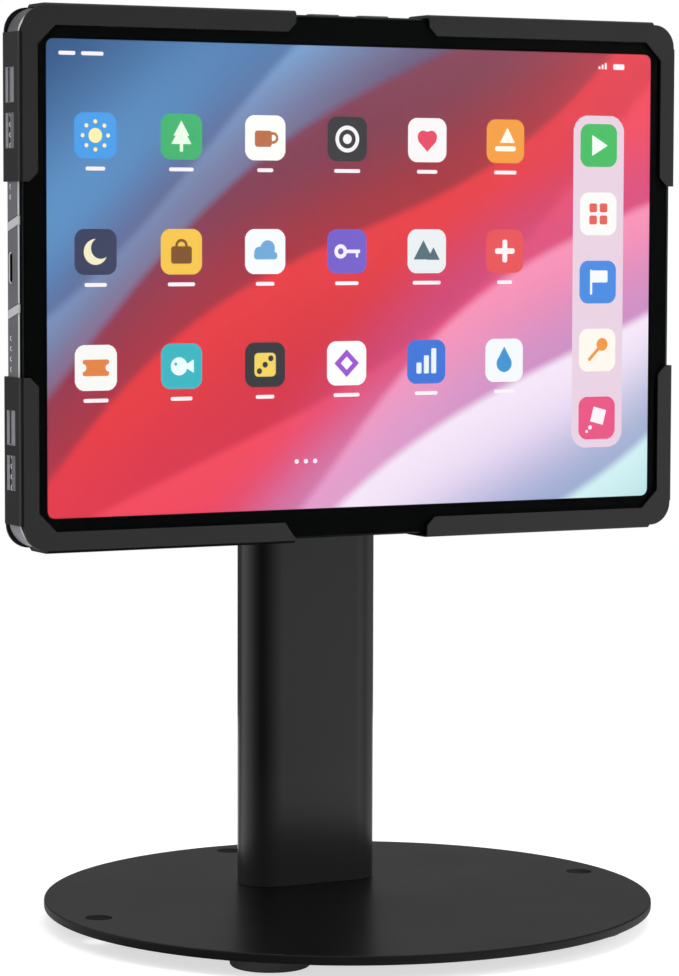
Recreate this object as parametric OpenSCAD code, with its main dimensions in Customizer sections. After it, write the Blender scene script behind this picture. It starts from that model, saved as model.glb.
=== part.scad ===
// Tablet security kiosk stand: round steel base, obround column, tilting and turning head,
// and two arms whose four folded corner brackets clasp a tablet.
// Millimetres, +Z up, the screen faces -Y, origin on the table under the middle of the base.

/* [Base] */
// Diameter of the round base plate
base_d = 210; // [190:1:260]
// Thickness of the base plate
base_t = 3.2; // [2.5:0.1:6]
// Diameter of the three fixing holes
fix_hole_d = 9; // [5:0.5:10]
// From the rim to the centre of a fixing hole
fix_hole_inset = 11; // [9:0.5:16]
// Diameter of a rubber foot
foot_d = 26.5; // [16:0.5:34]
// Height of a rubber foot
foot_h = 5; // [4:0.5:10]
// From the rim to the centre of a foot
foot_inset = 21; // [18:0.5:30]

/* [Column] */
// Width of the column across the front
column_w = 51.2; // [50:0.1:70]
// Depth of the column from front to back
column_d = 21.8; // [20:0.1:28]
// Wall of the extruded column
column_wall = 2.2; // [1.8:0.1:3]
// Height of the column above the base plate
column_h = 190; // [165:1:260]
// Middle of the column behind the middle of the base
column_back = 32.2; // [28:0.1:40]
// Outer diameter of a screw port in the column
port_d = 8; // [7:0.1:9]

/* [Tilting head] */
// Thickness of the fork's flange on top of the column
fork_flange_t = 4; // [3:0.5:8]
// Height of the tilt axis above the fork's flange
fork_rise = 19.5; // [18:0.5:30]
// Depth of the fork's plug inside the column
fork_plug_h = 25; // [12:1:40]
// Thickness of a fork ear
ear_t = 4.4; // [3:0.1:5]
// Gap between the two fork ears
ear_gap = 19.2; // [16:0.1:20]
// Radius of the round end of a fork ear
ear_r = 9.5; // [8:0.5:10.5]
// Radius of the fillets at the root of an ear
ear_fillet = 1.6; // [1:0.1:1.8]
// Diameter of the tilt bolt
tilt_bolt_d = 8; // [5:0.5:9]
// Thickness of a friction washer on the tilt bolt
friction_washer_t = 0.8; // [0.5:0.1:1.2]
// From the tilt axis forward to the swivel face
tilt_reach = 21.3; // [19:0.1:30]
// Diameter of the round swivel face
swivel_d = 44; // [40:1:60]
// Thickness of the swivel flange
swivel_flange_t = 4.2; // [3.5:0.1:6]

/* [Swivel] */
// Diameter of the swivel stud
stud_d = 10; // [8:0.5:12]
// Diameter of the stud's head
stud_head_d = 26; // [20:0.5:30]
// Thickness of the stud's head
stud_head_t = 2.4; // [1.5:0.1:2.6]
// Thickness of the slip washer between head and hub plate
slip_washer_t = 0.8; // [0.5:0.1:1.5]
// Thickness of the spring washer under the stud's head
spring_washer_t = 0.5; // [0.3:0.1:0.7]
// Diameter of the pin that stops the quarter turn
stop_pin_d = 4; // [3:0.5:5]
// Radius of the stop pin's path
stop_pin_r = 16.6; // [16:0.1:17.5]

/* [Hub plate and arms] */
// Side of the square hub plate
hub_w = 112; // [108:1:130]
// Thickness of the hub plate
hub_t = 2; // [1.5:0.1:3]
// Corner radius of the hub plate
hub_r = 8; // [4:0.5:12]
// Thickness of an arm
arm_t = 2; // [1.5:0.1:3]
// From the middle to the inner edge of an arm
arm_inner_x = 11; // [8:0.5:14]
// Height of an arm at the hub
arm_hub_h = 92; // [84:1:100]
// From the bracket's outer faces to an arm's corner pad
arm_pad_inset = 10; // [8:0.5:14]
// Side of an arm's square corner pad
arm_pad_w = 28; // [26:0.5:34]
// From the middle to the notch in an arm
arm_notch_x = 64; // [60:0.5:70]
// Height of that notch at its root
arm_notch_h = 40; // [30:1:50]
// Radius of the corners of an arm
arm_r = 6; // [2:0.5:9]
// Height of the clamp screws above and below the middle
clamp_z = 36; // [32:0.5:38]
// From the middle to the inner clamp screws
clamp_x = 36; // [34:0.5:38]
// Distance between the two clamp screws of a row
clamp_pitch = 12; // [11:0.5:14]
// Diameter of a clamp screw
clamp_d = 5; // [4:0.5:5]
// Opening travel of the sliding arm
jaw_travel = 18; // [8:1:20]

/* [Corner brackets] */
// Thickness of the folded sheet
sheet_t = 1; // [1:0.1:1.6]
// Outer bend radius at the front flange
front_bend_r = 1.6; // [1.6:0.1:2.4]
// Outer bend radius at the back flange
back_bend_r = 2.2; // [2:0.1:4]
// Width of the front flange along the long sides
flange_long = 7.2; // [5:0.1:9]
// Width of the front flange along the short sides
flange_short = 6.4; // [5:0.1:9]
// Width of the back flange
flange_back = 14; // [10:0.5:18]
// Length of the corner gusset of the back flange
gusset = 34; // [28:0.5:40]
// Open width between the brackets on a long side
long_gap = 51; // [44:0.5:80]
// Open height between the brackets on a short side
short_gap = 63.6; // [50:0.2:70]
// Open corner between the two walls of a bracket
corner_open = 9.4; // [9.2:0.1:14]
// Radius of the outer corner of a flange
flange_r = 8; // [6:0.1:10]
// Chamfer of the front flange inside the corner
corner_chamfer = 6.2; // [4:0.1:9]
// Chamfer at the end of a flange
end_chamfer = 3; // [1.5:0.1:4]
// Length of the slanted end of the lower left flange
slant_l = 3.9; // [3:0.1:5]
// Width of the slanted end of the lower left flange
slant_w = 5.4; // [4:0.1:5.6]
// Length of a side window
window_l = 11.3; // [8:0.1:12]
// Width of a side window
window_w = 6.8; // [4:0.1:8]
// From the end of the leg to the first window
window_start = 10.9; // [8:0.1:13]
// Bridge between the two windows of a leg
window_bridge = 3.5; // [2.5:0.1:5]
// Middle of the windows behind the front face of the flange
window_depth = 8.4; // [8:0.1:9]
// Thickness of the soft corner pads
pad_t = 0.6; // [0.5:0.1:2]
// Diameter of a rivet
rivet_d = 4; // [3:0.1:4.5]

/* [Tablet] */
// Width of the tablet
tablet_w = 248.8; // [242:0.1:262]
// Height of the tablet
tablet_h = 176.9; // [174:0.1:186]
// Thickness of the tablet
tablet_t = 12.8; // [12:0.1:14]
// Corner radius of the tablet
tablet_r = 10; // [9.5:0.1:11]
// Radius of the tablet's back edge
tablet_edge_r = 0.8; // [0.6:0.1:2]
// Bevel of the metal rim round the glass
rim_bevel = 0.4; // [0.3:0.1:0.6]
// Thickness of the cover glass
glass_t = 0.9; // [0.6:0.1:1.2]
// Gap from the side of the tablet to the edge of the glass
glass_inset = 0.7; // [0.6:0.1:1.4]
// Thickness of the black frame under the glass
seal_t = 2.2; // [1.6:0.1:2.6]
// Width of the black frame under the glass
seal_w = 4.6; // [3:0.1:4.8]
// Thickness of the display panel
panel_t = 1.5; // [1:0.1:2]
// Side wall of the metal shell
shell_wall = 2.2; // [1.8:0.1:2.6]
// Back wall of the metal shell
shell_back = 1.4; // [1:0.1:2]
// Diameter of a speaker hole
speaker_d = 1.7; // [1:0.1:2]
// Distance between speaker holes
speaker_pitch = 3.4; // [2.8:0.1:3.6]
// Length of the charging port
port_l = 10.4; // [9:0.1:12]
// Width of the charging port
port_w = 3.4; // [2.6:0.1:3.6]
// Height of the port above the middle of the side
port_z = 3.8; // [0:0.1:5]
// Length of the power button
power_l = 14; // [8:0.5:18]
// Length of a volume button
volume_l = 12; // [8:0.5:14]
// Width of the buttons
button_w = 3.4; // [2.4:0.1:4]
// How far a button stands proud of the side
button_proud = 0.7; // [0.5:0.1:0.9]
// Travel of a button
button_travel = 0.35; // [0.2:0.05:0.4]

/* [Clearances] */
// From the bracket walls to the sides of the tablet
side_gap = 0.15; // [0.1:0.05:0.5]
// From the front flange to the glass
face_gap = 0.3; // [0.2:0.05:0.6]
// From the soft pads to the back of the tablet
pad_gap = 0.2; // [0.1:0.05:0.4]
// Between flat faces that slide on each other
slide_gap = 0.15; // [0.1:0.05:0.3]
// Radial gap of a pin or screw in its hole
run_gap = 0.05; // [0.03:0.01:0.1]
// Gap round a button in its slot
button_gap = 0.3; // [0.2:0.05:0.5]

/* [Hidden] */
$fn = 64;
past = 1;
far = 400;

base_top = foot_h + base_t;
column_top = base_top + column_h;
fork_top = column_top + fork_flange_t;
axis_z = fork_top + fork_rise;
axis_y = column_back;

swivel_y = axis_y - tilt_reach;
hub_back_y = swivel_y - slip_washer_t - slide_gap;
hub_front_y = hub_back_y - hub_t;
arm_back_y = hub_front_y - slide_gap;
arm_front_y = arm_back_y - arm_t;
stud_head_y = hub_front_y - slide_gap - spring_washer_t;

channel_depth = 2 * sheet_t + face_gap + tablet_t + pad_gap + pad_t;
back_y = arm_front_y;
front_y = back_y - channel_depth;
half_w = tablet_w / 2 + side_gap + sheet_t;
half_h = tablet_h / 2 + side_gap + sheet_t;
long_end = half_w - corner_open;
short_end = half_h - corner_open;
rivet_edge = 1.5 * rivet_d;
rivet_in = arm_pad_inset + rivet_edge;
rivet_out = arm_pad_inset + arm_pad_w - rivet_edge;
rivet_spots = [[rivet_in, rivet_in], [rivet_in, rivet_out], [rivet_out, rivet_in]];
rivet_head_d = 1.8 * rivet_d;
rivet_head_h = 0.4 * rivet_d;

tablet_front = front_y + sheet_t + face_gap;
tablet_back = tablet_front + tablet_t;
glass_back = tablet_front + glass_t;
rim_y = glass_back + seal_t;
cavity_back = tablet_back - shell_back;
cavity_w = tablet_w - 2 * shell_wall;
cavity_h = tablet_h - 2 * shell_wall;
cavity_r = tablet_r - shell_wall;
glass_w = tablet_w - 2 * glass_inset;
glass_h = tablet_h - 2 * glass_inset;
seal_gap = 0.2;
panel_w = glass_w - 2 * (seal_w + 2 * seal_gap);
panel_h = glass_h - 2 * (seal_w + 2 * seal_gap);
lip_gap = 0.1;
side_y = cavity_back - lip_gap - max(button_w, port_w) / 2;

port_x = column_w / 2 - column_wall - port_d / 2 + 0.8;
screw_d = 4.5;
screw_l = 16;
screw_head_d = 8.4;
screw_head_h = 2.8;
clamp_head_d = 1.8 * clamp_d;
clamp_head_h = 0.45 * clamp_d;
clamp_nut_t = 1.4;
clamp_nut_w = 9;
tilt_head_h = 0.5 * tilt_bolt_d;
ear_out = ear_gap / 2 + ear_t;
tilt_arm_w = ear_gap - 2 * (friction_washer_t + slide_gap);
stud_depth = tilt_reach - tilt_bolt_d / 2 - 4;
groove_depth = 2.4;

power_at = 18;
volume_at = [-10, 9];
button_step = 1;
button_lip = 0.8;
speaker_rows = [[26.8, 4], [43.6, 5], [-29.4, 4], [-68, 5]];

// Flat outlines

module rounded_rect(w, h, r) {
  square([w - 2 * r, h], center = true);
  square([w, h - 2 * r], center = true);
  for (x = [-1, 1], y = [-1, 1])
    translate([x * (w / 2 - r), y * (h / 2 - r)]) circle(r);
}

module stadium(l, w) {
  square([l - w, w], center = true);
  for (x = [-1, 1]) translate([x * (l - w) / 2, 0]) circle(w / 2);
}

// Closed outline through points that run counter-clockwise, with every corner rounded by radius r
module rounded_outline(points, r) {
  last = len(points) - 1;
  function unit(v) = v / norm(v);
  function to_last(i) = unit(points[i == 0 ? last : i - 1] - points[i]);
  function to_next(i) = unit(points[i == last ? 0 : i + 1] - points[i]);
  function half_angle(i) = acos(to_last(i) * to_next(i)) / 2;
  function inside(i) = unit(to_last(i) + to_next(i));
  function centre(i) = points[i] + inside(i) * r / sin(half_angle(i));
  function arc_start(i) = points[i] + to_last(i) * r / tan(half_angle(i));
  function arc_end(i) = points[i] + to_next(i) * r / tan(half_angle(i));
  function outward(i) = cross(to_last(i), to_next(i)) < 0;
  polygon([for (i = [0:last]) each outward(i) ? [arc_start(i), centre(i), arc_end(i)] : [points[i]]]);
  for (i = [0:last])
    if (outward(i))
      translate(centre(i)) circle(r);
    else
      difference() {
        polygon([points[i] - inside(i) * r / 4, arc_start(i), centre(i), arc_end(i)]);
        translate(centre(i)) circle(r);
      }
}

// Concave fillet in the corner of the two axes
module fillet_corner(r) {
  difference() {
    square(r);
    translate([r, r]) circle(r);
  }
}

// Ways to stand an outline up: across the screen (x, z), along X (y, z) and round Y (radius, y)

module sheet_xz(y, t) {
  translate([0, y + t, 0]) rotate([90, 0, 0]) linear_extrude(t) children();
}

module bar_x(x, l) {
  translate([x, 0, 0]) rotate([90, 0, 90]) linear_extrude(l) children();
}

module round_y(x, z) {
  translate([x, 0, z]) rotate([-90, 0, 0]) rotate_extrude() children();
}

module peg_y(x, z, y0, y1, d) {
  translate([x, y0, z]) rotate([-90, 0, 0]) cylinder(h = y1 - y0, d = d);
}

module peg_x(x0, x1, y, z, d) {
  translate([x0, y, z]) rotate([0, 90, 0]) cylinder(h = x1 - x0, d = d);
}

// Button-head screw along Z: the seat of the head at z = 0, the shank below, a six-sided socket
module button_screw(d, l, head_d, head_h) {
  difference() {
    union() {
      translate([0, 0, -l]) cylinder(h = l, d = d);
      rotate_extrude()
        polygon([[0, 0], [head_d / 2, 0], [head_d / 2, 0.4 * head_h], [0.36 * head_d, head_h], [0, head_h]]);
    }
    translate([0, 0, 0.4 * head_h]) cylinder(h = head_h, d = 0.5 * head_d, $fn = 6);
  }
}

module ring(h, outer_d, inner_d) {
  difference() {
    cylinder(h = h, d = outer_d);
    translate([0, 0, -past]) cylinder(h = h + 2 * past, d = inner_d);
  }
}

// Base

module base_plate() {
  edge = base_t / 8;
  fix_r = base_d / 2 - fix_hole_inset;
  color("#2c2c2e") difference() {
    translate([0, 0, foot_h]) rotate_extrude()
      polygon([[0, 0], [base_d / 2 - edge, 0], [base_d / 2, edge], [base_d / 2, base_t - edge],
        [base_d / 2 - edge, base_t], [0, base_t]]);
    for (a = [0, 90, 180])
      rotate(a) translate([fix_r, 0, foot_h - past]) cylinder(h = base_t + 2 * past, d = fix_hole_d);
    for (x = [-1, 1])
      translate([x * port_x, column_back, foot_h - past])
        cylinder(h = base_t + 2 * past, d = screw_d + 2 * run_gap);
  }
}

module rubber_feet() {
  edge = foot_h / 4;
  foot_at = base_d / 2 - foot_inset;
  color("#151515") for (a = [45, 135, 225, 315])
    rotate(a) translate([foot_at, 0, 0]) rotate_extrude() {
      translate([0, edge]) square([foot_d / 2, foot_h - edge]);
      square([foot_d / 2 - edge, foot_h]);
      translate([foot_d / 2 - edge, edge]) circle(edge);
    }
}

// Column

module column_outline(inset) {
  stadium(column_w - 2 * inset, column_d - 2 * inset);
}

module column() {
  color("#2c2c2e") translate([0, column_back, base_top]) linear_extrude(column_h) difference() {
    union() {
      difference() {
        column_outline(0);
        column_outline(column_wall);
      }
      for (x = [-1, 1]) translate([x * port_x, 0]) circle(d = port_d);
    }
    for (x = [-1, 1]) translate([x * port_x, 0]) circle(d = screw_d + 2 * run_gap);
  }
}

module column_screws() {
  color("#3a3a3c") for (x = [-1, 1])
    translate([x * port_x, column_back, foot_h]) rotate([180, 0, 0])
      button_screw(screw_d, screw_l, screw_head_d, screw_head_h);
}

// Tilting head

module head_fork() {
  plug_gap = 0.2;
  plug_w = 2 * (port_x - port_d / 2 - plug_gap);
  plug_d = column_d - 2 * (column_wall + plug_gap);
  color("#303032") difference() {
    union() {
      translate([0, axis_y, column_top]) linear_extrude(fork_flange_t) column_outline(0);
      translate([-plug_w / 2, axis_y - plug_d / 2, column_top - fork_plug_h])
        cube([plug_w, plug_d, fork_plug_h + fork_flange_t / 2]);
      for (x = [-ear_out, ear_gap / 2]) bar_x(x, ear_t) {
        translate([axis_y, axis_z]) circle(ear_r);
        translate([axis_y - ear_r, fork_top - fork_flange_t / 2])
          square([2 * ear_r, axis_z - fork_top + fork_flange_t / 2]);
      }
      for (side = [0, 1]) mirror([side, 0, 0]) sheet_xz(axis_y - ear_r, 2 * ear_r) {
        translate([ear_out, fork_top]) fillet_corner(ear_fillet);
        translate([ear_gap / 2, fork_top]) mirror([1, 0]) fillet_corner(ear_fillet);
      }
    }
    peg_x(-far, far, axis_y, axis_z, tilt_bolt_d + 2 * run_gap);
    for (x = [-1, 1])
      translate([x * port_x, axis_y, column_top - past])
        cylinder(h = fork_flange_t + 2 * past, d = screw_d + 2 * run_gap);
  }
}

module head_screws() {
  color("#3a3a3c") for (x = [-1, 1])
    translate([x * port_x, axis_y, fork_top])
      button_screw(screw_d, screw_l + fork_flange_t, screw_head_d, screw_head_h);
}

module tilt_bolt() {
  nut_side = ear_out + 0.9 * tilt_bolt_d;
  color("#4a4a4d") translate([-ear_out, axis_y, axis_z]) rotate([0, -90, 0])
    button_screw(tilt_bolt_d, ear_out + nut_side, 1.75 * tilt_bolt_d, tilt_head_h);
}

module tilt_nut() {
  color("#4a4a4d") translate([ear_out, axis_y, axis_z]) rotate([0, 90, 0]) difference() {
    cylinder(h = 0.75 * tilt_bolt_d, d = 1.85 * tilt_bolt_d, $fn = 6);
    translate([0, 0, -past]) cylinder(h = far, d = tilt_bolt_d + 2 * run_gap);
  }
}

module friction_washers() {
  color("#8a8a8c") for (x = [-ear_gap / 2, ear_gap / 2 - friction_washer_t])
    translate([x, axis_y, axis_z]) rotate([0, 90, 0])
      ring(friction_washer_t, 2 * ear_r - 1, tilt_bolt_d + 4 * run_gap);
}

module tilt_arm() {
  lever_h = 1.7 * ear_r;
  pin_gap = stop_pin_d + 2 * button_gap;
  color("#303032") difference() {
    union() {
      peg_y(0, axis_z, swivel_y, swivel_y + swivel_flange_t, swivel_d);
      bar_x(-tilt_arm_w / 2, tilt_arm_w) {
        translate([axis_y, axis_z]) circle(ear_r);
        translate([swivel_y + swivel_flange_t / 2, axis_z - lever_h / 2])
          square([tilt_reach - swivel_flange_t / 2, lever_h]);
      }
    }
    peg_x(-far, far, axis_y, axis_z, tilt_bolt_d + 2 * run_gap);
    peg_y(0, axis_z, swivel_y - past, swivel_y + stud_depth, stud_d + 2 * run_gap);
    // Quarter-circle groove for the stop pin, from +X up to +Z
    translate([0, swivel_y - past, axis_z]) rotate([90, 0, 0]) mirror([0, 0, 1])
      rotate_extrude(angle = 90)
        translate([stop_pin_r - pin_gap / 2, 0]) square([pin_gap, groove_depth + past]);
    for (a = [0, 90])
      peg_y(stop_pin_r * cos(a), axis_z + stop_pin_r * sin(a), swivel_y - past,
        swivel_y + groove_depth, pin_gap);
  }
}

// Swivel

module swivel_stud() {
  color("#6b6b6e") {
    peg_y(0, axis_z, stud_head_y - stud_head_t / 4, swivel_y + stud_depth, stud_d);
    difference() {
      peg_y(0, axis_z, stud_head_y - stud_head_t, stud_head_y, stud_head_d);
      translate([0, stud_head_y - stud_head_t - past, axis_z]) rotate([-90, 0, 0])
        cylinder(h = past + stud_head_t / 2, d = stud_d, $fn = 6);
    }
  }
}

module slip_washer() {
  color("#d8d8d2") translate([0, swivel_y, axis_z]) rotate([90, 0, 0])
    ring(slip_washer_t, 2 * (stop_pin_r - stop_pin_d / 2 - 1), stud_d + 4 * run_gap);
}

module spring_washer() {
  color("#9a9a9c") translate([0, stud_head_y + spring_washer_t, axis_z]) rotate([90, 0, 0])
    ring(spring_washer_t, stud_head_d - 2, stud_d + 4 * run_gap);
}

// Hub plate and arms

module clamp_spots(side) {
  for (x = [clamp_x, clamp_x + clamp_pitch], z = [-1, 1])
    translate([side * x, 0, axis_z + z * clamp_z]) children();
}

module hub_plate() {
  color("#2c2c2e") difference() {
    sheet_xz(hub_front_y, hub_t) translate([0, axis_z]) rounded_rect(hub_w, hub_w, hub_r);
    peg_y(0, axis_z, hub_front_y - past, hub_back_y + past, stud_d + 2 * run_gap);
    peg_y(stop_pin_r, axis_z, hub_front_y - past, hub_back_y + past, stop_pin_d + 2 * run_gap);
    for (side = [-1, 1]) clamp_spots(side)
      peg_y(0, 0, hub_front_y - past, hub_back_y + past, clamp_d + 2 * run_gap);
  }
}

module stop_pin() {
  color("#9a9a9c") peg_y(stop_pin_r, axis_z, hub_front_y, swivel_y + groove_depth - 0.7, stop_pin_d);
}

// Outline of the right arm: a hub end and two legs that run out to the corner brackets
module arm_outline() {
  outer_x = half_w - arm_pad_inset;
  outer_z = half_h - arm_pad_inset;
  pad_x = outer_x - arm_pad_w;
  pad_z = outer_z - arm_pad_w;
  hub_z = arm_hub_h / 2;
  root_x = pad_x - (outer_z - hub_z);
  notch_z = arm_notch_h / 2;
  tip_x = arm_notch_x + pad_z - notch_z;
  half = [[arm_inner_x, hub_z], [root_x, hub_z], [pad_x, outer_z], [outer_x, outer_z],
    [outer_x, pad_z], [tip_x, pad_z], [arm_notch_x, notch_z]];
  difference() {
    rounded_outline([for (p = half) [p[0], -p[1]], for (i = [len(half) - 1:-1:0]) half[i]], arm_r);
    circle(d = stud_head_d + 4 * arm_t);
    for (p = rivet_spots, z = [-1, 1])
      translate([half_w - p[0], z * (half_h - p[1])]) circle(d = rivet_d + 2 * run_gap);
  }
}

module left_arm() {
  color("#2c2c2e") difference() {
    sheet_xz(arm_front_y, arm_t) translate([0, axis_z]) mirror([1, 0]) arm_outline();
    clamp_spots(-1) peg_y(0, 0, arm_front_y - past, arm_back_y + past, clamp_d + 2 * run_gap);
  }
}

module right_arm() {
  slot_w = clamp_d + 2 * slide_gap;
  slot_l = jaw_travel + clamp_pitch + slot_w;
  color("#2c2c2e") difference() {
    sheet_xz(arm_front_y, arm_t) translate([0, axis_z]) arm_outline();
    for (z = [-1, 1])
      sheet_xz(arm_front_y - past, arm_t + 2 * past)
        translate([clamp_x + (clamp_pitch - jaw_travel) / 2, axis_z + z * clamp_z])
          stadium(slot_l, slot_w);
  }
}

module clamp_screws(side) {
  nut_front = arm_front_y - slide_gap - clamp_nut_t;
  clamp_spots(side) translate([0, hub_back_y, 0]) rotate([-90, 0, 0])
    button_screw(clamp_d, hub_back_y - nut_front, clamp_head_d, clamp_head_h);
}

module clamp_nuts(side) {
  clamp_spots(side) translate([0, arm_front_y - slide_gap, 0]) rotate([90, 0, 0]) difference() {
    translate([-clamp_nut_w / 2, -clamp_nut_w / 2, 0]) cube([clamp_nut_w, clamp_nut_w, clamp_nut_t]);
    translate([0, 0, -past]) cylinder(h = clamp_nut_t + 2 * past, d = clamp_d + 2 * run_gap);
  }
}

module arm_screws() {
  color("#4a4a4d") clamp_screws(-1);
}

module arm_nuts() {
  color("#8a8a8c") clamp_nuts(-1);
}

module jaw_screws() {
  color("#4a4a4d") clamp_screws(1);
}

module jaw_nuts() {
  color("#8a8a8c") clamp_nuts(1);
}

// Corner brackets: one blank folded to a channel along two sides, open at the corner

// A box of depth d and height w with its two lower corners rounded
module bend_box(d, w, front_r, back_r) {
  translate([front_r, 0]) square([d - front_r - back_r, w]);
  translate([0, front_r]) square([d / 2, w - front_r]);
  translate([d / 2, back_r]) square([d / 2, w - back_r]);
  translate([front_r, front_r]) circle(front_r);
  translate([d - back_r, back_r]) circle(back_r);
}

// Section of a leg: x runs back from the front face, y inward from the outer face of the wall
module channel_section(front_w, back_w) {
  difference() {
    bend_box(channel_depth, back_w, front_bend_r, back_bend_r);
    translate([sheet_t, sheet_t])
      bend_box(channel_depth - 2 * sheet_t, back_w, front_bend_r - sheet_t, back_bend_r - sheet_t);
    translate([-past, front_w]) square([channel_depth / 2, back_w]);
  }
}

// Corner sheet of a flange: flush inside the walls, rounded outside, cut off inside
module corner_sheet(short_w, long_w, chamfer) {
  in_x = half_w - short_w;
  in_z = half_h - long_w;
  difference() {
    intersection() {
      rounded_rect(2 * (half_w - sheet_t), 2 * (half_h - sheet_t), flange_r);
      translate([long_gap / 2, short_gap / 2]) square(far);
    }
    polygon([[0, 0], [in_x, 0], [in_x, in_z - chamfer], [in_x - chamfer, in_z], [0, in_z]]);
  }
}

module end_cut(x, z, l, w) {
  sheet_xz(front_y - past, sheet_t + front_bend_r + past)
    polygon([[x, z], [x + l, z], [x, z + w]]);
}

// The bracket of the corner at +X +Z, seen from the middle of the tablet
module bracket_blank(end_l, end_w) {
  windows = [window_start, window_start + window_l + window_bridge];
  difference() {
    union() {
      bar_x(long_gap / 2, long_end - long_gap / 2)
        translate([front_y, half_h]) mirror([0, 1]) channel_section(flange_long, flange_back);
      translate([half_w, front_y, short_gap / 2]) linear_extrude(short_end - short_gap / 2)
        rotate(90) channel_section(flange_short, flange_back);
      sheet_xz(front_y, sheet_t) corner_sheet(flange_short, flange_long, corner_chamfer);
      sheet_xz(back_y - sheet_t, sheet_t) corner_sheet(flange_back, flange_back, gusset);
    }
    end_cut(long_gap / 2, half_h - flange_long, end_l, end_w);
    end_cut(half_w - flange_short, short_gap / 2, end_chamfer, end_chamfer);
    for (z = windows)
      translate([half_w - sheet_t - past, front_y + window_depth - window_w / 2, short_gap / 2 + z])
        cube([sheet_t + 2 * past, window_w, window_l]);
    for (p = rivet_spots)
      peg_y(half_w - p[0], half_h - p[1], back_y - sheet_t - past, back_y + past, rivet_d + 2 * run_gap);
  }
}

module corner_bracket(x, z, end_l = end_chamfer, end_w = end_chamfer) {
  color("#353538") translate([0, 0, axis_z]) mirror([x < 0 ? 1 : 0, 0, 0]) mirror([0, 0, z < 0 ? 1 : 0])
    bracket_blank(end_l, end_w);
}

module bracket_top_left() {
  corner_bracket(-1, 1);
}

module bracket_bottom_left() {
  corner_bracket(-1, -1, slant_l, min(slant_w, flange_long - front_bend_r));
}

module bracket_top_right() {
  corner_bracket(1, 1);
}

module bracket_bottom_right() {
  corner_bracket(1, -1);
}

module rivets(side) {
  color("#3a3a3c") for (p = rivet_spots, z = [-1, 1])
    round_y(side * (half_w - p[0]), axis_z + z * (half_h - p[1])) {
      translate([0, back_y - sheet_t]) square([rivet_d / 2, arm_back_y - back_y + sheet_t]);
      translate([0, arm_back_y])
        polygon([[0, 0], [rivet_head_d / 2, 0], [0.35 * rivet_head_d, rivet_head_h], [0, rivet_head_h]]);
    }
}

module left_rivets() {
  rivets(-1);
}

module right_rivets() {
  rivets(1);
}

// Soft L-shaped pads inside the back flanges
module corner_pads(side) {
  pad_w = flange_back - sheet_t - 4;
  pad_in = sheet_t + 2;
  pad_l = 46;
  corner_x = half_w - tablet_r;
  corner_z = half_h - tablet_r;
  color("#1d1d1f") for (z = [-1, 1])
    translate([0, 0, axis_z]) mirror([side < 0 ? 1 : 0, 0, 0]) mirror([0, 0, z < 0 ? 1 : 0])
      sheet_xz(back_y - sheet_t - pad_t, pad_t) {
        translate([corner_x - pad_l, half_h - pad_in - pad_w]) square([pad_l, pad_w]);
        translate([half_w - pad_in - pad_w, corner_z - pad_l]) square([pad_w, pad_l]);
      }
}

module left_pads() {
  corner_pads(-1);
}

module right_pads() {
  corner_pads(1);
}

// Tablet

// Edge of the shell: x is the distance from the corner's centre, y runs from front to back
module shell_edge() {
  in_r = tablet_r - tablet_edge_r;
  translate([0, rim_y]) square([in_r, tablet_back - rim_y]);
  translate([0, rim_y + rim_bevel]) square([tablet_r, tablet_back - tablet_edge_r - rim_y - rim_bevel]);
  polygon([[0, rim_y], [tablet_r - rim_bevel, rim_y], [tablet_r, rim_y + rim_bevel], [0, rim_y + rim_bevel]]);
  translate([in_r, tablet_back - tablet_edge_r]) circle(tablet_edge_r);
}

module shell_block() {
  x = tablet_w / 2 - tablet_r;
  z = tablet_h / 2 - tablet_r;
  for (i = [-1, 1], k = [-1, 1]) round_y(i * x, k * z) shell_edge();
  for (k = [0, 1]) mirror([0, 0, k])
    bar_x(-x, 2 * x) translate([0, z]) mirror([1, -1]) shell_edge();
  for (i = [0, 1]) mirror([i, 0, 0])
    translate([x, 0, -z]) linear_extrude(2 * z) shell_edge();
  translate([-x, rim_y, -z]) cube([2 * x, tablet_back - rim_y, 2 * z]);
}

module button_stem(l, w, depth) {
  linear_extrude(depth) stadium(l, w);
}

// Stands a button, drawn along its travel, on the right side or on the top side of the tablet
module on_right(z) {
  translate([tablet_w / 2, side_y, z]) rotate([0, 90, 0]) children();
}

module on_top(x) {
  translate([x, side_y, tablet_h / 2]) children();
}

module tablet_shell() {
  hole_l = shell_wall + 2 * past;
  color("#b9bac6") translate([0, 0, axis_z]) difference() {
    shell_block();
    sheet_xz(rim_y - past, cavity_back - rim_y + past) rounded_rect(cavity_w, cavity_h, cavity_r);
    on_right(power_at) translate([0, 0, -hole_l + past])
      button_stem(power_l + 2 * button_gap, button_w + 2 * button_gap, hole_l);
    for (x = volume_at) on_top(x) translate([0, 0, -hole_l + past])
      button_stem(volume_l + 2 * button_gap, button_w + 2 * button_gap, hole_l);
    for (row = speaker_rows, i = [0:row[1] - 1])
      peg_x(-tablet_w / 2 - past, -tablet_w / 2 + shell_wall + past, side_y,
        row[0] + i * speaker_pitch, speaker_d);
    bar_x(-tablet_w / 2 - past, hole_l) translate([side_y, port_z]) rotate(90) stadium(port_l, port_w);
  }
}

module tablet_seal() {
  color("#0b0b0c") sheet_xz(glass_back, seal_t) translate([0, axis_z]) difference() {
    rounded_rect(glass_w - 2 * seal_gap, glass_h - 2 * seal_gap, tablet_r - glass_inset - seal_gap);
    square([glass_w - 2 * (seal_gap + seal_w), glass_h - 2 * (seal_gap + seal_w)], center = true);
  }
}

module tablet_glass() {
  color("#101113") sheet_xz(tablet_front, glass_t) translate([0, axis_z])
    rounded_rect(glass_w, glass_h, tablet_r - glass_inset);
}

module tablet_panel() {
  color("#5b7fa6") sheet_xz(glass_back, panel_t) translate([0, axis_z]) square([panel_w, panel_h], center = true);
}

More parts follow.
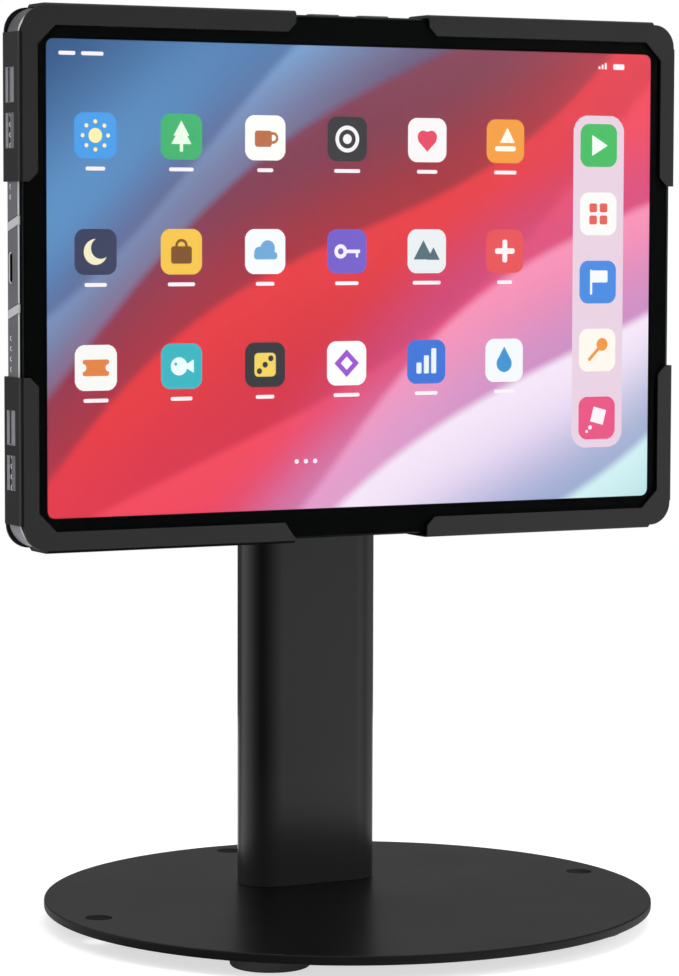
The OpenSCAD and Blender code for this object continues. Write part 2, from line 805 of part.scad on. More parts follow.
module tablet_battery() {
  cell = [0.4 * cavity_w, 0.4 * (cavity_back - rim_y), 0.62 * cavity_h];
  color("#222226") for (x = [-1, 1])
    translate([x * 0.24 * cavity_w - cell[0] / 2, cavity_back - cell[1], axis_z - cell[2] / 2]) cube(cell);
}

module tablet_board() {
  size = [0.72 * cavity_w, 1.6, 0.12 * cavity_h];
  color("#1d5a3a") translate([-size[0] / 2, cavity_back - size[1], axis_z + 0.34 * cavity_h]) cube(size);
}

// Charging socket: a metal sleeve behind the slot with a tongue in its middle
module tablet_port() {
  sleeve_l = 7;
  sleeve_wall = 0.4;
  fill = 2 * run_gap;
  outside = -tablet_w / 2 + 0.5;
  color("#6b6b6e") translate([0, side_y, axis_z + port_z]) {
    difference() {
      bar_x(outside, sleeve_l) rotate(90) stadium(port_l - fill, port_w - fill);
      bar_x(outside - past, sleeve_l) rotate(90)
        stadium(port_l - fill - 2 * sleeve_wall, port_w - fill - 2 * sleeve_wall);
    }
    translate([outside + past, -0.3, -0.32 * port_l]) cube([sleeve_l - past, 0.6, 0.64 * port_l]);
  }
}

// A button: its stem in the slot and a lip that keeps it behind the wall
module button(l) {
  lip_top = -shell_wall - slide_gap - button_travel / 2;
  color("#b9bac6") {
    translate([0, 0, lip_top]) button_stem(l, button_w, button_proud - lip_top);
    translate([0, 0, lip_top - button_lip])
      button_stem(l + 2 * button_step, button_w, button_lip);
  }
}

module power_button() {
  translate([0, 0, axis_z]) on_right(power_at) button(power_l);
}

module volume_up() {
  translate([0, 0, axis_z]) on_top(volume_at[1]) button(volume_l);
}

module volume_down() {
  translate([0, 0, axis_z]) on_top(volume_at[0]) button(volume_l);
}

base_plate();
rubber_feet();
column();
column_screws();
head_fork();
head_screws();
tilt_bolt();
tilt_nut();
friction_washers();
tilt_arm();
swivel_stud();
slip_washer();
spring_washer();
hub_plate();
stop_pin();
left_arm();
arm_screws();
arm_nuts();
jaw_screws();
jaw_nuts();
bracket_top_left();
bracket_bottom_left();
left_rivets();
left_pads();
right_arm();
bracket_top_right();
bracket_bottom_right();
right_rivets();
right_pads();
tablet_shell();
tablet_seal();
tablet_glass();
tablet_panel();
tablet_battery();
tablet_board();
tablet_port();
power_button();
volume_up();
volume_down();
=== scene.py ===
import math

import bmesh
import bpy
from mathutils import Matrix, Vector


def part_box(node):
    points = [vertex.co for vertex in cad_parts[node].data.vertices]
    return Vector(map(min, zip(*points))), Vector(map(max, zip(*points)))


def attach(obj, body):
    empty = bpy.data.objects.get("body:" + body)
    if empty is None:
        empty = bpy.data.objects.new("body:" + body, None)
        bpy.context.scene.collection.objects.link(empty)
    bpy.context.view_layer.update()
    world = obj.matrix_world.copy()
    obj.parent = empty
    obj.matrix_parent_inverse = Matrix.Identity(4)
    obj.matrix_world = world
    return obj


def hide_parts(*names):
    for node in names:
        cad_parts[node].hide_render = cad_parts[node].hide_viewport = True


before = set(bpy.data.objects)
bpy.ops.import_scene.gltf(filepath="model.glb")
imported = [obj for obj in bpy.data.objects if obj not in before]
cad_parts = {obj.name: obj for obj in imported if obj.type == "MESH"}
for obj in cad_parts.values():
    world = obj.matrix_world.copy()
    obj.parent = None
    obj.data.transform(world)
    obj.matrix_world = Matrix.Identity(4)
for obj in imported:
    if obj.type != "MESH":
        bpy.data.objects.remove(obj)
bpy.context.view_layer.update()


# Base plate: a laser-cut steel disc with three fixing holes, deburred and powder coated satin black.
# The cut rim is duller than the face. It stands on rubber feet and carries the column on two screws.
MM = 0.001
PLATE_EDGE = 0.25 * MM
PLATE_BLACK = (0.0012, 0.0012, 0.00126)
HOLE_LIGHT_GREY = (0.035, 0.035, 0.036)
HOLES_REACH = 102 * MM
RIM_DULL = 0.28
DRIFT_SPAN = (0.3, 0.7)
MERGE_WITHIN = 0.002 * MM
FLAT_WITHIN = math.radians(0.3)
SHARP_BEYOND = math.radians(35)
FACE_WEIGHT = 100


def add_node(tree, kind, **settings):
    node = tree.nodes.new(kind)
    for key, value in settings.items():
        setattr(node, key, value)
    return node


def feed(tree, socket, value):
    """Gives a socket a plain value, or the output of another node."""
    if isinstance(value, bpy.types.NodeSocket):
        tree.links.new(value, socket)
    else:
        socket.default_value = value


def compute(tree, operation, *values):
    node = add_node(tree, "ShaderNodeMath", operation=operation)
    for socket, value in zip(node.inputs, values):
        feed(tree, socket, value)
    return node.outputs[0]


def ramp_value(tree, value, low, high, to_low, to_high):
    """Eases from to_low to to_high while the value goes from low to high."""
    node = add_node(tree, "ShaderNodeMapRange", interpolation_type="SMOOTHSTEP")
    for name, amount in zip(("Value", "From Min", "From Max", "To Min", "To Max"),
                            (value, low, high, to_low, to_high)):
        feed(tree, node.inputs[name], amount)
    return node.outputs["Result"]


def coordinates(tree):
    """Where a point lies on the part, as x, y and z in metres."""
    split = add_node(tree, "ShaderNodeSeparateXYZ")
    feed(tree, split.inputs[0], add_node(tree, "ShaderNodeTexCoord").outputs["Object"])
    return split.outputs["X"], split.outputs["Y"], split.outputs["Z"]


def within(tree, value, low, high):
    """One where the value lies between low and high, else zero."""
    return compute(tree, "COMPARE", value, (low + high) / 2, (high - low) / 2)


def mix_colour(tree, share, first, second):
    node = add_node(tree, "ShaderNodeMix", data_type="RGBA")
    feed(tree, node.inputs[0], share)
    feed(tree, node.inputs[6], first)
    feed(tree, node.inputs[7], second)
    return node.outputs[2]


def new_group(name, inputs, outputs):
    """An empty node group; inputs and outputs are (socket name, socket kind, start value)."""
    tree = bpy.data.node_groups.new(name, "ShaderNodeTree")
    for direction, sockets in (("INPUT", inputs), ("OUTPUT", outputs)):
        for label, kind, start in sockets:
            socket = tree.interface.new_socket(label, in_out=direction, socket_type="NodeSocket" + kind)
            if start is not None:
                socket.default_value = start
    return tree, add_node(tree, "NodeGroupInput").outputs, add_node(tree, "NodeGroupOutput").inputs


grain_group, grain_in, grain_out = new_group(
    "surface_grain",
    [("Grain Size", "Float", 0.5 * MM), ("Mottle Size", "Float", 30 * MM), ("Stretch", "Vector", (1, 1, 1))],
    [("Height", "Float", None), ("Mottle", "Float", None)])
grain_place = add_node(grain_group, "ShaderNodeTexCoord")
grain_stretch = add_node(grain_group, "ShaderNodeVectorMath", operation="MULTIPLY")
feed(grain_group, grain_stretch.inputs[0], grain_place.outputs["Object"])
feed(grain_group, grain_stretch.inputs[1], grain_in["Stretch"])
for grain_label, grain_detail, grain_result in (("Grain Size", 2, "Height"), ("Mottle Size", 4, "Mottle")):
    grain_noise = add_node(grain_group, "ShaderNodeTexNoise")
    feed(grain_group, grain_noise.inputs["Vector"], grain_stretch.outputs[0])
    feed(grain_group, grain_noise.inputs["Scale"], compute(grain_group, "DIVIDE", 1.0, grain_in[grain_label]))
    feed(grain_group, grain_noise.inputs["Detail"], grain_detail)
    feed(grain_group, grain_out[grain_result], grain_noise.outputs["Fac"])


def rgba(colour, share=1.0):
    return tuple(min(1.0, c * share) for c in colour[:3]) + (1.0,)


def shader_of(material):
    return material.node_tree.nodes["Principled BSDF"]


def new_finish(name):
    """A plain material, with its node tree and its shader."""
    material = bpy.data.materials.new(name)
    material.use_nodes = True
    return material, material.node_tree, shader_of(material)


def grained(name, colour, roughness, grain, depth, mottle, stretch=(1, 1, 1), tone=0.15, gloss=0.06,
            metallic=0.0):
    """A finish with grain of a real size and depth, and a broad drift in tone and gloss."""
    material, tree, shader = new_finish(name)
    surface = add_node(tree, "ShaderNodeGroup", node_tree=grain_group)
    feed(tree, surface.inputs["Grain Size"], grain)
    feed(tree, surface.inputs["Mottle Size"], mottle)
    feed(tree, surface.inputs["Stretch"], stretch)
    drift = surface.outputs["Mottle"]
    feed(tree, shader.inputs["Base Color"],
         mix_colour(tree, drift, rgba(colour, 1 - tone), rgba(colour, 1 + tone)))
    feed(tree, shader.inputs["Roughness"],
         ramp_value(tree, drift, *DRIFT_SPAN, roughness - gloss, roughness + gloss))
    shader.inputs["Metallic"].default_value = metallic
    bump = add_node(tree, "ShaderNodeBump")
    bump.inputs["Strength"].default_value = 1.0
    bump.inputs["Distance"].default_value = depth
    feed(tree, bump.inputs["Height"], surface.outputs["Height"])
    feed(tree, shader.inputs["Normal"], bump.outputs["Normal"])
    return material


def dress(node, material, edge=0.0, clamp=True):
    """Gives a CAD piece its finish, and rounds its sharp edges by edge, as deburring does."""
    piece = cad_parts[node]
    piece.data.materials.clear()
    piece.data.materials.append(material)
    if not edge:
        return
    piece.modifiers.new("join_corners", "WELD").merge_threshold = MERGE_WITHIN
    flatten = piece.modifiers.new("whole_faces", "DECIMATE")
    flatten.decimate_type = "DISSOLVE"
    flatten.angle_limit = FLAT_WITHIN
    rounding = piece.modifiers.new("soft_edges", "BEVEL")
    rounding.width = edge
    rounding.segments = 2
    rounding.limit_method = "ANGLE"
    rounding.angle_limit = SHARP_BEYOND
    rounding.use_clamp_overlap = clamp
    piece.modifiers.new("even_shade", "WEIGHTED_NORMAL").weight = FACE_WEIGHT


def repainted(material, share, colour):
    """Lays another colour over the part of a finish that share picks out."""
    tree = material.node_tree
    base = shader_of(material).inputs["Base Color"]
    feed(tree, base, mix_colour(tree, share, base.links[0].from_socket, rgba(colour)))


plate_coat = grained("plate_coat", PLATE_BLACK, roughness=0.31, grain=0.5 * MM, depth=0.0006 * MM,
                     mottle=60 * MM, gloss=0.02)
plate_tree = plate_coat.node_tree
plate_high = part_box("base_plate")[1]
plate_x, plate_y, plate_z = coordinates(plate_tree)
x_squared = compute(plate_tree, "POWER", plate_x, 2.0)
y_squared = compute(plate_tree, "POWER", plate_y, 2.0)
plate_reach = compute(plate_tree, "SQRT", compute(plate_tree, "ADD", x_squared, y_squared))
# Painted light: the walls of the fixing holes and the underside of the plate are painted a lighter grey.
inside_rim = compute(plate_tree, "LESS_THAN", plate_reach, HOLES_REACH)
below_face = compute(plate_tree, "LESS_THAN", plate_z, plate_high[2] - PLATE_EDGE)
repainted(plate_coat, compute(plate_tree, "MULTIPLY", inside_rim, below_face), HOLE_LIGHT_GREY)
plate_gloss = shader_of(plate_coat).inputs["Roughness"]
on_rim = compute(plate_tree, "GREATER_THAN", plate_reach, plate_high[0] - PLATE_EDGE)
feed(plate_tree, plate_gloss,
     compute(plate_tree, "MULTIPLY_ADD", on_rim, RIM_DULL, plate_gloss.links[0].from_socket))
dress("base_plate", plate_coat, edge=PLATE_EDGE)


# Rubber feet: four moulded discs of matt black rubber with a rounded lower edge.
# They are stuck under the plate and show as thin dark slices below its rim.
RUBBER_BLACK = (0.12, 0.12, 0.123)
foot_rubber = grained("foot_rubber", RUBBER_BLACK, roughness=0.72, grain=0.25 * MM, depth=0.012 * MM,
                      mottle=8 * MM)
dress("rubber_feet", foot_rubber)


# Column: an extruded aluminium tube of obround section, powder coated like the plate.
# Two black screws from below hold it in the screw ports of the extrusion. Painted light brightens its foot.
COLUMN_BLACK = (0.003, 0.003, 0.0031)
FOOT_LIGHT_GREY = (0.017, 0.017, 0.0174)
FOOT_LIGHT_REACH = 55 * MM
SCREW_BLACK = (0.018, 0.018, 0.019)
SCREW_EDGE = 0.12 * MM
column_coat = grained("column_coat", COLUMN_BLACK, roughness=0.22, grain=0.45 * MM, depth=0.001 * MM,
                      mottle=80 * MM, stretch=(1, 1, 0.3), gloss=0.03)
column_tree = column_coat.node_tree
column_z = coordinates(column_tree)[2]
column_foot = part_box("column")[0][2]
# Painted light: the coat is painted lighter towards the foot of the column.
foot_lightened = ramp_value(column_tree, column_z, column_foot, column_foot + FOOT_LIGHT_REACH, 1.0, 0.0)
repainted(column_coat, foot_lightened, FOOT_LIGHT_GREY)
dress("column", column_coat, edge=0.2 * MM)
screw_black = grained("screw_black", SCREW_BLACK, roughness=0.34, grain=0.2 * MM, depth=0.004 * MM,
                      mottle=3 * MM, metallic=0.5)
dress("column_screws", screw_black, edge=SCREW_EDGE)


# Tilting head: a cast fork that plugs into the column, and the cast arm that tilts between its ears.
# A zinc-plated bolt and lock nut squeeze them against two friction washers.
CAST_BLACK = (0.014, 0.014, 0.0145)
ZINC = (0.52, 0.53, 0.55)
cast_coat = grained("cast_coat", CAST_BLACK, roughness=0.52, grain=0.7 * MM, depth=0.02 * MM, mottle=20 * MM)
zinc_plate = grained("zinc_plate", ZINC, roughness=0.30, grain=0.12 * MM, depth=0.004 * MM, mottle=4 * MM,
                     metallic=1.0)
for casting in ("head_fork", "tilt_arm"):
    dress(casting, cast_coat, edge=0.35 * MM, clamp=False)
dress("head_screws", screw_black, edge=SCREW_EDGE)
for plated in ("tilt_bolt", "tilt_nut", "friction_washers"):
    dress(plated, zinc_plate, edge=SCREW_EDGE)


# Swivel: a flanged stud in the tilt arm, a nylon slip washer, a spring washer and the stop pin.
# The stud carries the hub plate, and the pin runs in the groove of the swivel face.
NYLON = (0.72, 0.70, 0.64)
nylon = grained("nylon", NYLON, roughness=0.45, grain=0.3 * MM, depth=0.003 * MM, mottle=6 * MM, tone=0.05)
for plated in ("swivel_stud", "spring_washer", "stop_pin"):
    dress(plated, zinc_plate, edge=SCREW_EDGE)
dress("slip_washer", nylon, edge=0.08 * MM)


# Hub plate and arms: laser-cut steel sheets in a matt black coat with a fine grain.
# Clamp screws go through the hub plate into square nuts in front of the arms, and the right arm slides.
ARM_BLACK = (0.016, 0.016, 0.0165)
arm_coat = grained("arm_coat", ARM_BLACK, roughness=0.42, grain=0.5 * MM, depth=0.006 * MM, mottle=50 * MM)
for sheet in ("hub_plate", "left_arm", "right_arm"):
    dress(sheet, arm_coat, edge=0.2 * MM)
for clamp_screws in ("arm_screws", "jaw_screws"):
    dress(clamp_screws, screw_black, edge=SCREW_EDGE)
for clamp_nuts in ("arm_nuts", "jaw_nuts"):
    dress(clamp_nuts, zinc_plate, edge=0.1 * MM)


# Corner brackets: one blank of sheet steel each, folded to a channel along two sides of the tablet.
# It is coated satin black and riveted to its arm, and the edges of its two windows carry painted light.
BRACKET_BLACK = (0.006, 0.006, 0.0062)
SHEET_EDGE = 0.18 * MM
SHEET = 1.0 * MM
SHEET_SKIN = 0.02 * MM
WINDOW_LIGHT_GREY = (0.62, 0.62, 0.665)
WINDOW_REACH = (42.5 * MM, 69.0 * MM)
WINDOW_DEPTH = (4.9 * MM, 11.9 * MM)
WHOLE_EDGE = 0.5 * MM


def finished(name, bm, body, material):
    """Makes a bmesh a piece of the object that rides on a body."""
    mesh = bpy.data.meshes.new(name)
    bm.to_mesh(mesh)
    bm.free()
    mesh.materials.append(material)
    piece = bpy.data.objects.new(name, mesh)
    bpy.context.scene.collection.objects.link(piece)
    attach(piece, body)
    return piece


def softened(node, name, body, material, edge, chosen):
    """A merged copy of a CAD piece that takes its place, with its chosen sharp edges rounded."""
    bm = bmesh.new()
    bm.from_mesh(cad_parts[node].data)
    bmesh.ops.remove_doubles(bm, verts=bm.verts, dist=MERGE_WITHIN)
    bmesh.ops.dissolve_limit(bm, angle_limit=FLAT_WITHIN, verts=bm.verts, edges=bm.edges)
    sharp = [e for e in bm.edges if e.calc_face_angle(0) > SHARP_BEYOND and chosen(e)]
    bmesh.ops.bevel(bm, geom=sharp, offset=edge, affect="EDGES", segments=2, profile=0.5, material=-1,
                    clamp_overlap=True)
    for face in bm.faces:
        face.smooth = True
    for line in bm.edges:
        line.smooth = line.calc_face_angle(0) < SHARP_BEYOND
    piece = finished(name, bm, body, material)
    normals = piece.data.attributes.get("custom_normal")
    if normals:
        piece.data.attributes.remove(normals)
    shading = piece.modifiers.new("even_shade", "WEIGHTED_NORMAL")
    shading.weight = FACE_WEIGHT
    shading.keep_sharp = True
    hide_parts(node)
    return piece


def clear_of_bends(edge):
    """True for an edge of the sheet that doesn't end in the short steps of a bend."""
    return all(line.calc_length() > WHOLE_EDGE for vert in edge.verts for line in vert.link_edges)


bracket_coat = grained("bracket_coat", BRACKET_BLACK, roughness=0.27, grain=0.4 * MM, depth=0.002 * MM,
                       mottle=40 * MM, gloss=0.03)
bracket_tree = bracket_coat.node_tree
bracket_x, bracket_y, bracket_z = coordinates(bracket_tree)
bracket_low, bracket_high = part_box("bracket_top_left")
holder_z = (bracket_high[2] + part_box("bracket_bottom_left")[0][2]) / 2
sideways = compute(bracket_tree, "ABSOLUTE", bracket_x)
in_sheet = within(bracket_tree, sideways, -bracket_low[0] - SHEET + SHEET_SKIN, -bracket_low[0] - SHEET_SKIN)
from_middle = compute(bracket_tree, "ABSOLUTE", compute(bracket_tree, "SUBTRACT", bracket_z, holder_z))
in_height = within(bracket_tree, from_middle, *WINDOW_REACH)
in_depth = within(bracket_tree, bracket_y, bracket_low[1] + WINDOW_DEPTH[0], bracket_low[1] + WINDOW_DEPTH[1])
in_window = compute(bracket_tree, "MULTIPLY", in_height, in_depth)
# Painted light: the cut edges of the windows are painted a pale grey.
repainted(bracket_coat, compute(bracket_tree, "MULTIPLY", in_sheet, in_window), WINDOW_LIGHT_GREY)
for side, body in (("left", "holder"), ("right", "jaw")):
    for level in ("top", "bottom"):
        softened(f"bracket_{level}_{side}", f"folded_{level}_{side}", body, bracket_coat,
                 SHEET_EDGE, clear_of_bends)
    dress(f"{side}_rivets", screw_black, edge=0.15 * MM)


# Corner pads: strips of black closed-cell foam, stuck inside the back flanges.
# Their cut edges are soft, and the tablet leans on them.
FOAM_BLACK = (0.022, 0.022, 0.024)
FOAM_EDGE = 0.2 * MM
pad_foam = grained("pad_foam", FOAM_BLACK, roughness=0.95, grain=0.4 * MM, depth=0.06 * MM, mottle=5 * MM,
                   gloss=0.02)
for side, body in (("left", "holder"), ("right", "jaw")):
    pads = softened(f"{side}_pads", f"{side}_foam_pads", body, pad_foam, FOAM_EDGE,
                    lambda edge: True)


# Tablet shell: a machined aluminium tray, fine blasted and anodised grey. Painted light brightens two
# fields of its left side. Its front bevel is black like the frame, with a painted highlight on its slanted
# faces along the left side. The buttons are of the same metal.
ANODISED = (0.34, 0.345, 0.372)
SIDE_LIGHT_GREY = (0.56, 0.565, 0.60)
LIT_FIELDS = ((56.5 * MM, 70 * MM), (-55 * MM, -41.5 * MM))
SIDE_SKIN = 0.1 * MM
BEVEL_BLACK = (0.004, 0.0045, 0.0045)
HIGHLIGHT_WHITE = (0.93, 0.94, 0.96)
BEVEL_DEPTH = 0.42 * MM
CORNER = 6 * MM
FACING = 0.9
BUTTON_EDGE = 0.15 * MM
PRESSED_AREA = 25 * MM * MM
PRESSED_OUTWARD = 0.5
PRESSED_LEAN = 0.1
shell_low, shell_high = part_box("tablet_shell")
shell_middle = (shell_low[2] + shell_high[2]) / 2
port_low, port_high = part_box("tablet_port")
hole_y = (port_low[1] + port_high[1]) / 2


def backward(tree):
    """How far a face looks back: minus one in front, zero on the sides and one behind."""
    split = add_node(tree, "ShaderNodeSeparateXYZ")
    feed(tree, split.inputs[0], add_node(tree, "ShaderNodeTexCoord").outputs["Normal"])
    return split.outputs["Y"]


def anodised(name):
    """Blasted metal with painted light on its left side, a black foremost rim and a painted highlight."""
    material = grained(name, ANODISED, roughness=0.40, grain=0.16 * MM, depth=0.004 * MM, mottle=30 * MM,
                       tone=0.05, gloss=0.04)
    tree = material.node_tree
    x, y, z = coordinates(tree)
    on_side = compute(tree, "LESS_THAN", x, shell_low[0] + SIDE_SKIN)
    # Painted light: two fields of the left side are painted a lighter grey.
    for low, high in LIT_FIELDS:
        in_lit_field = within(tree, z, shell_middle + low, shell_middle + high)
        repainted(material, compute(tree, "MULTIPLY", on_side, in_lit_field), SIDE_LIGHT_GREY)
    bevel = compute(tree, "LESS_THAN", y, shell_low[1] + BEVEL_DEPTH)
    repainted(material, bevel, BEVEL_BLACK)
    # Painted highlight: the slanted faces of the bevel on the left are painted near white.
    left = compute(tree, "LESS_THAN", x, shell_low[0] + CORNER)
    slanted = compute(tree, "GREATER_THAN", backward(tree), -FACING)
    highlighted = compute(tree, "MULTIPLY", bevel, compute(tree, "MULTIPLY", left, slanted))
    repainted(material, highlighted, HIGHLIGHT_WHITE)
    feed(tree, shader_of(material).inputs["Metallic"], compute(tree, "SUBTRACT", 1.0, bevel))
    return material


shell_metal = anodised("shell_metal")
dress("tablet_shell", shell_metal)


def is_pressed(face):
    """True for the large face of a button, which looks up or to the right."""
    outward = face.normal.dot(Vector((1, 0, 1))) > PRESSED_OUTWARD
    return outward and abs(face.normal.y) < PRESSED_LEAN and face.calc_area() > PRESSED_AREA


def on_top_face(edge):
    """True for an edge of the face that a finger presses."""
    return any(is_pressed(face) for face in edge.link_faces)


for button, key in (("power_button", "power_key"), ("volume_up", "volume_up_key"),
                    ("volume_down", "volume_down_key")):
    softened(button, f"{button}_cap", key, shell_metal, BUTTON_EDGE, on_top_face)
# Painted shade: the port sleeve takes the black screw finish, dark like the shade inside its slot.
dress("tablet_port", screw_black)


# Speaker caps: plugs of fine black gauze that close the round holes in the left side of the shell.
# Each one sits in its hole, a little below the surface.
CAP_ROWS = ((26.8, 4), (43.6, 5), (-29.4, 4), (-68.0, 5))
CAP_PITCH = 3.4
HOLE_WIDTH = 1.7 * MM
CAP_RADIUS = 0.86 * MM
CAP_LENGTH = 0.8 * MM
CAP_SUNK = 0.36 * MM
CAP_TAPER = 0.97
CAP_SIDES = 20
GAUZE_BLACK = (0.01, 0.01, 0.011)
caps = bmesh.new()
cap_x = shell_low[0] + CAP_SUNK + CAP_LENGTH / 2
hole_heights = [shell_middle + (row_start + place * CAP_PITCH) * MM
                for row_start, row_count in CAP_ROWS for place in range(row_count)]
inward = Matrix.Rotation(-math.pi / 2, 4, "Y")
for hole_z in hole_heights:
    bmesh.ops.create_cone(caps, cap_ends=True, segments=CAP_SIDES, radius1=CAP_RADIUS,
                          radius2=CAP_TAPER * CAP_RADIUS, depth=CAP_LENGTH,
                          matrix=Matrix.Translation((cap_x, hole_y, hole_z)) @ inward)
gauze = grained("speaker_gauze", GAUZE_BLACK, roughness=0.6, grain=0.12 * MM, depth=0.03 * MM, mottle=2 * MM,
                tone=0.3)
finished("speaker_caps", caps, "holder", gauze)


# Hole lips: the countersunk mouths of the speaker holes and of the charging slot, with a painted highlight.
# Each one is a thin funnel that lines its hole from the surface inward.
LIP_DEEP = 0.26 * MM
LIP_STEP = 0.26 * MM
LIP_CLEAR = 0.01 * MM
LIP_WALL = 0.03 * MM
LIP_SIDES = 28
lips = bmesh.new()


def lip(z, width, length):
    """A funnel whose two halves are drawn apart to the length of the hole."""
    radius = width / 2 - LIP_CLEAR
    half_step = Matrix.Rotation(math.pi / LIP_SIDES, 4, "Z")
    points = bmesh.ops.create_cone(lips, cap_ends=False, segments=LIP_SIDES, radius1=radius - LIP_STEP,
                                   radius2=radius, depth=LIP_DEEP, matrix=half_step)["verts"]
    for point in points:
        point.co.x += math.copysign((length - width) / 2, point.co.x)
    place = Matrix.Translation((shell_low[0] + LIP_CLEAR + LIP_DEEP / 2, hole_y, z))
    bmesh.ops.transform(lips, verts=points, matrix=place @ inward)


for hole_z in hole_heights:
    lip(hole_z, HOLE_WIDTH, HOLE_WIDTH)
lip((port_low[2] + port_high[2]) / 2, port_high[1] - port_low[1], port_high[2] - port_low[2])
bmesh.ops.recalc_face_normals(lips, faces=lips.faces[:])
bmesh.ops.solidify(lips, geom=lips.faces[:], thickness=LIP_WALL)
# Painted highlight: the lips are painted near white.
highlight_lip = grained("highlight_lip", HIGHLIGHT_WHITE, roughness=0.35, grain=0.1 * MM, depth=0.002 * MM,
                     mottle=4 * MM, tone=0.03)
finished("hole_lips", lips, "holder", highlight_lip)


# Antenna breaks: two slanted strips of pale moulded resin in a dark groove in the left side of the shell.
# They run from the back edge over the side and the bright bevel to the seal.
RESIN = (0.80, 0.81, 0.83)
STRIP_HEIGHT = 2.9 * MM
STRIP_DROP = 2.2 * MM
STRIP_PROUD = 0.02 * MM
STRIP_THICK = 0.3 * MM
STRIP_LAP = 1.5 * BEVEL_DEPTH
STRIP_PLACES = (19.3 * MM, -9.4 * MM)
GROOVE_DARK = (0.05, 0.05, 0.055)
GROOVE_HEIGHT = 3.5 * MM
GROOVE_PROUD = 0.01 * MM
SHELL_BACK_RADIUS = 0.9 * MM


def antenna_strip(name, middle, height, proud, material):
    """A strip bent over the bevel: its outline runs from back to front and is drawn down by its height."""
    side = shell_low[0] - proud
    front = shell_low[1] - proud
    back = shell_high[1] - SHELL_BACK_RADIUS
    corner = front + BEVEL_DEPTH
    bm = bmesh.new()
    outline = [(side, back, -STRIP_DROP), (side, corner, 0), (side + BEVEL_DEPTH, front, 0),
               (side + STRIP_LAP, front, 0)]
    top = shell_middle + middle + height / 2
    path = [bm.verts.new((x, y, top + drop)) for x, y, drop in outline]
    edges = [bm.edges.new(pair) for pair in zip(path, path[1:])]
    drawn = bmesh.ops.extrude_edge_only(bm, edges=edges)
    lower = [v for v in drawn["geom"] if isinstance(v, bmesh.types.BMVert)]
    bmesh.ops.translate(bm, verts=lower, vec=(0, 0, -height))
    bmesh.ops.recalc_face_normals(bm, faces=bm.faces)
    outer_face = bm.faces[:][0]
    if outer_face.normal.x > 0:
        bmesh.ops.reverse_faces(bm, faces=bm.faces)
    bmesh.ops.solidify(bm, geom=bm.faces[:], thickness=STRIP_THICK)
    return finished(name, bm, "holder", material)


resin = grained("antenna_resin", RESIN, roughness=0.35, grain=0.2 * MM, depth=0.002 * MM, mottle=4 * MM,
                tone=0.03)
groove = grained("antenna_groove", GROOVE_DARK, roughness=0.6, grain=0.2 * MM, depth=0.002 * MM,
                 mottle=4 * MM)
for number, middle in enumerate(STRIP_PLACES, 1):
    antenna_strip(f"antenna_strip_{number}", middle, STRIP_HEIGHT, STRIP_PROUD, resin)
    antenna_strip(f"antenna_groove_{number}", middle, GROOVE_HEIGHT, GROOVE_PROUD, groove)


# Cover glass: a polished sheet with an anti-glare coat that hardly reflects, glued to a black moulded frame.
# Black ink covers its ground edge, and ink printed on its back makes the border round the picture.
INK_BLACK = (0.0016, 0.0022, 0.0021)
PICTURE_WIDTH = 231.6 * MM
PICTURE_HEIGHT = 156.4 * MM
PICTURE_RADIUS = 2.6 * MM
PICTURE_X = 0.4 * MM
INK_INSET = 0.2 * MM
INK_DEEP = 0.02 * MM
GLASS_RADIUS = 9.3 * MM
GLASS_INDEX = 1.12
glass_low, glass_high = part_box("tablet_glass")
glass_back = glass_high[1]
screen_z = (glass_low[2] + glass_high[2]) / 2


def facing(x, y, z, turn=0.0):
    """Stands a flat shape up to face the viewer at depth y, turned about its middle."""
    turned = Matrix.Translation((x, y, z)) @ Matrix.Rotation(-turn, 4, "Y")
    return turned @ Matrix.Rotation(math.pi / 2, 4, "X")


def flat_rectangle(bm, x, y, z, width, height, radius, turn=0.0, segments=6):
    """A rectangle with rounded corners: a circle whose quarters are drawn apart. Returns its points."""
    half_step = Matrix.Rotation(math.pi / (4 * segments), 4, "Z")
    points = bmesh.ops.create_circle(bm, cap_ends=True, segments=4 * segments, radius=radius,
                                     matrix=half_step)["verts"]
    for point in points:
        point.co.x += math.copysign(width / 2 - radius, point.co.x)
        point.co.y += math.copysign(height / 2 - radius, point.co.y)
    bmesh.ops.transform(bm, matrix=facing(x, y, z, turn), verts=points)
    return points


cover_glass, glass_tree, glass_shader = new_finish("cover_glass")
glass_turn = compute(glass_tree, "ABSOLUTE", backward(glass_tree))
on_ground_edge = compute(glass_tree, "LESS_THAN", glass_turn, FACING)
feed(glass_tree, glass_shader.inputs["Base Color"],
     mix_colour(glass_tree, on_ground_edge, (1, 1, 1, 1), rgba(INK_BLACK)))
glass_shader.inputs["Roughness"].default_value = 0.02
glass_shader.inputs["IOR"].default_value = GLASS_INDEX
glass_shader.inputs["Transmission Weight"].default_value = 1.0
dress("tablet_glass", cover_glass, edge=0.22 * MM)
seal_black = grained("seal_black", INK_BLACK, roughness=0.6, grain=0.2 * MM, depth=0.003 * MM, mottle=5 * MM)
shader_of(seal_black).inputs["Specular IOR Level"].default_value = 0.15
dress("tablet_seal", seal_black)

border = bmesh.new()
flat_rectangle(border, 0, glass_back - INK_DEEP, screen_z, glass_high[0] - glass_low[0] - 2 * INK_INSET,
               glass_high[2] - glass_low[2] - 2 * INK_INSET, GLASS_RADIUS - INK_INSET)
flat_rectangle(border, PICTURE_X, glass_back - INK_DEEP, screen_z, PICTURE_WIDTH, PICTURE_HEIGHT,
               PICTURE_RADIUS)
bmesh.ops.delete(border, geom=border.faces[:], context="FACES_ONLY")
bmesh.ops.bridge_loops(border, edges=border.edges[:])
bmesh.ops.recalc_face_normals(border, faces=border.faces[:])
bmesh.ops.solidify(border, geom=border.faces[:], thickness=INK_DEEP / 2)
border_ink = grained("border_ink", INK_BLACK, roughness=0.5, grain=0.3 * MM, depth=0.001 * MM,
                     mottle=20 * MM)
shader_of(border_ink).inputs["Specular IOR Level"].default_value = 0.0
finished("border_print", border, "holder", border_ink)


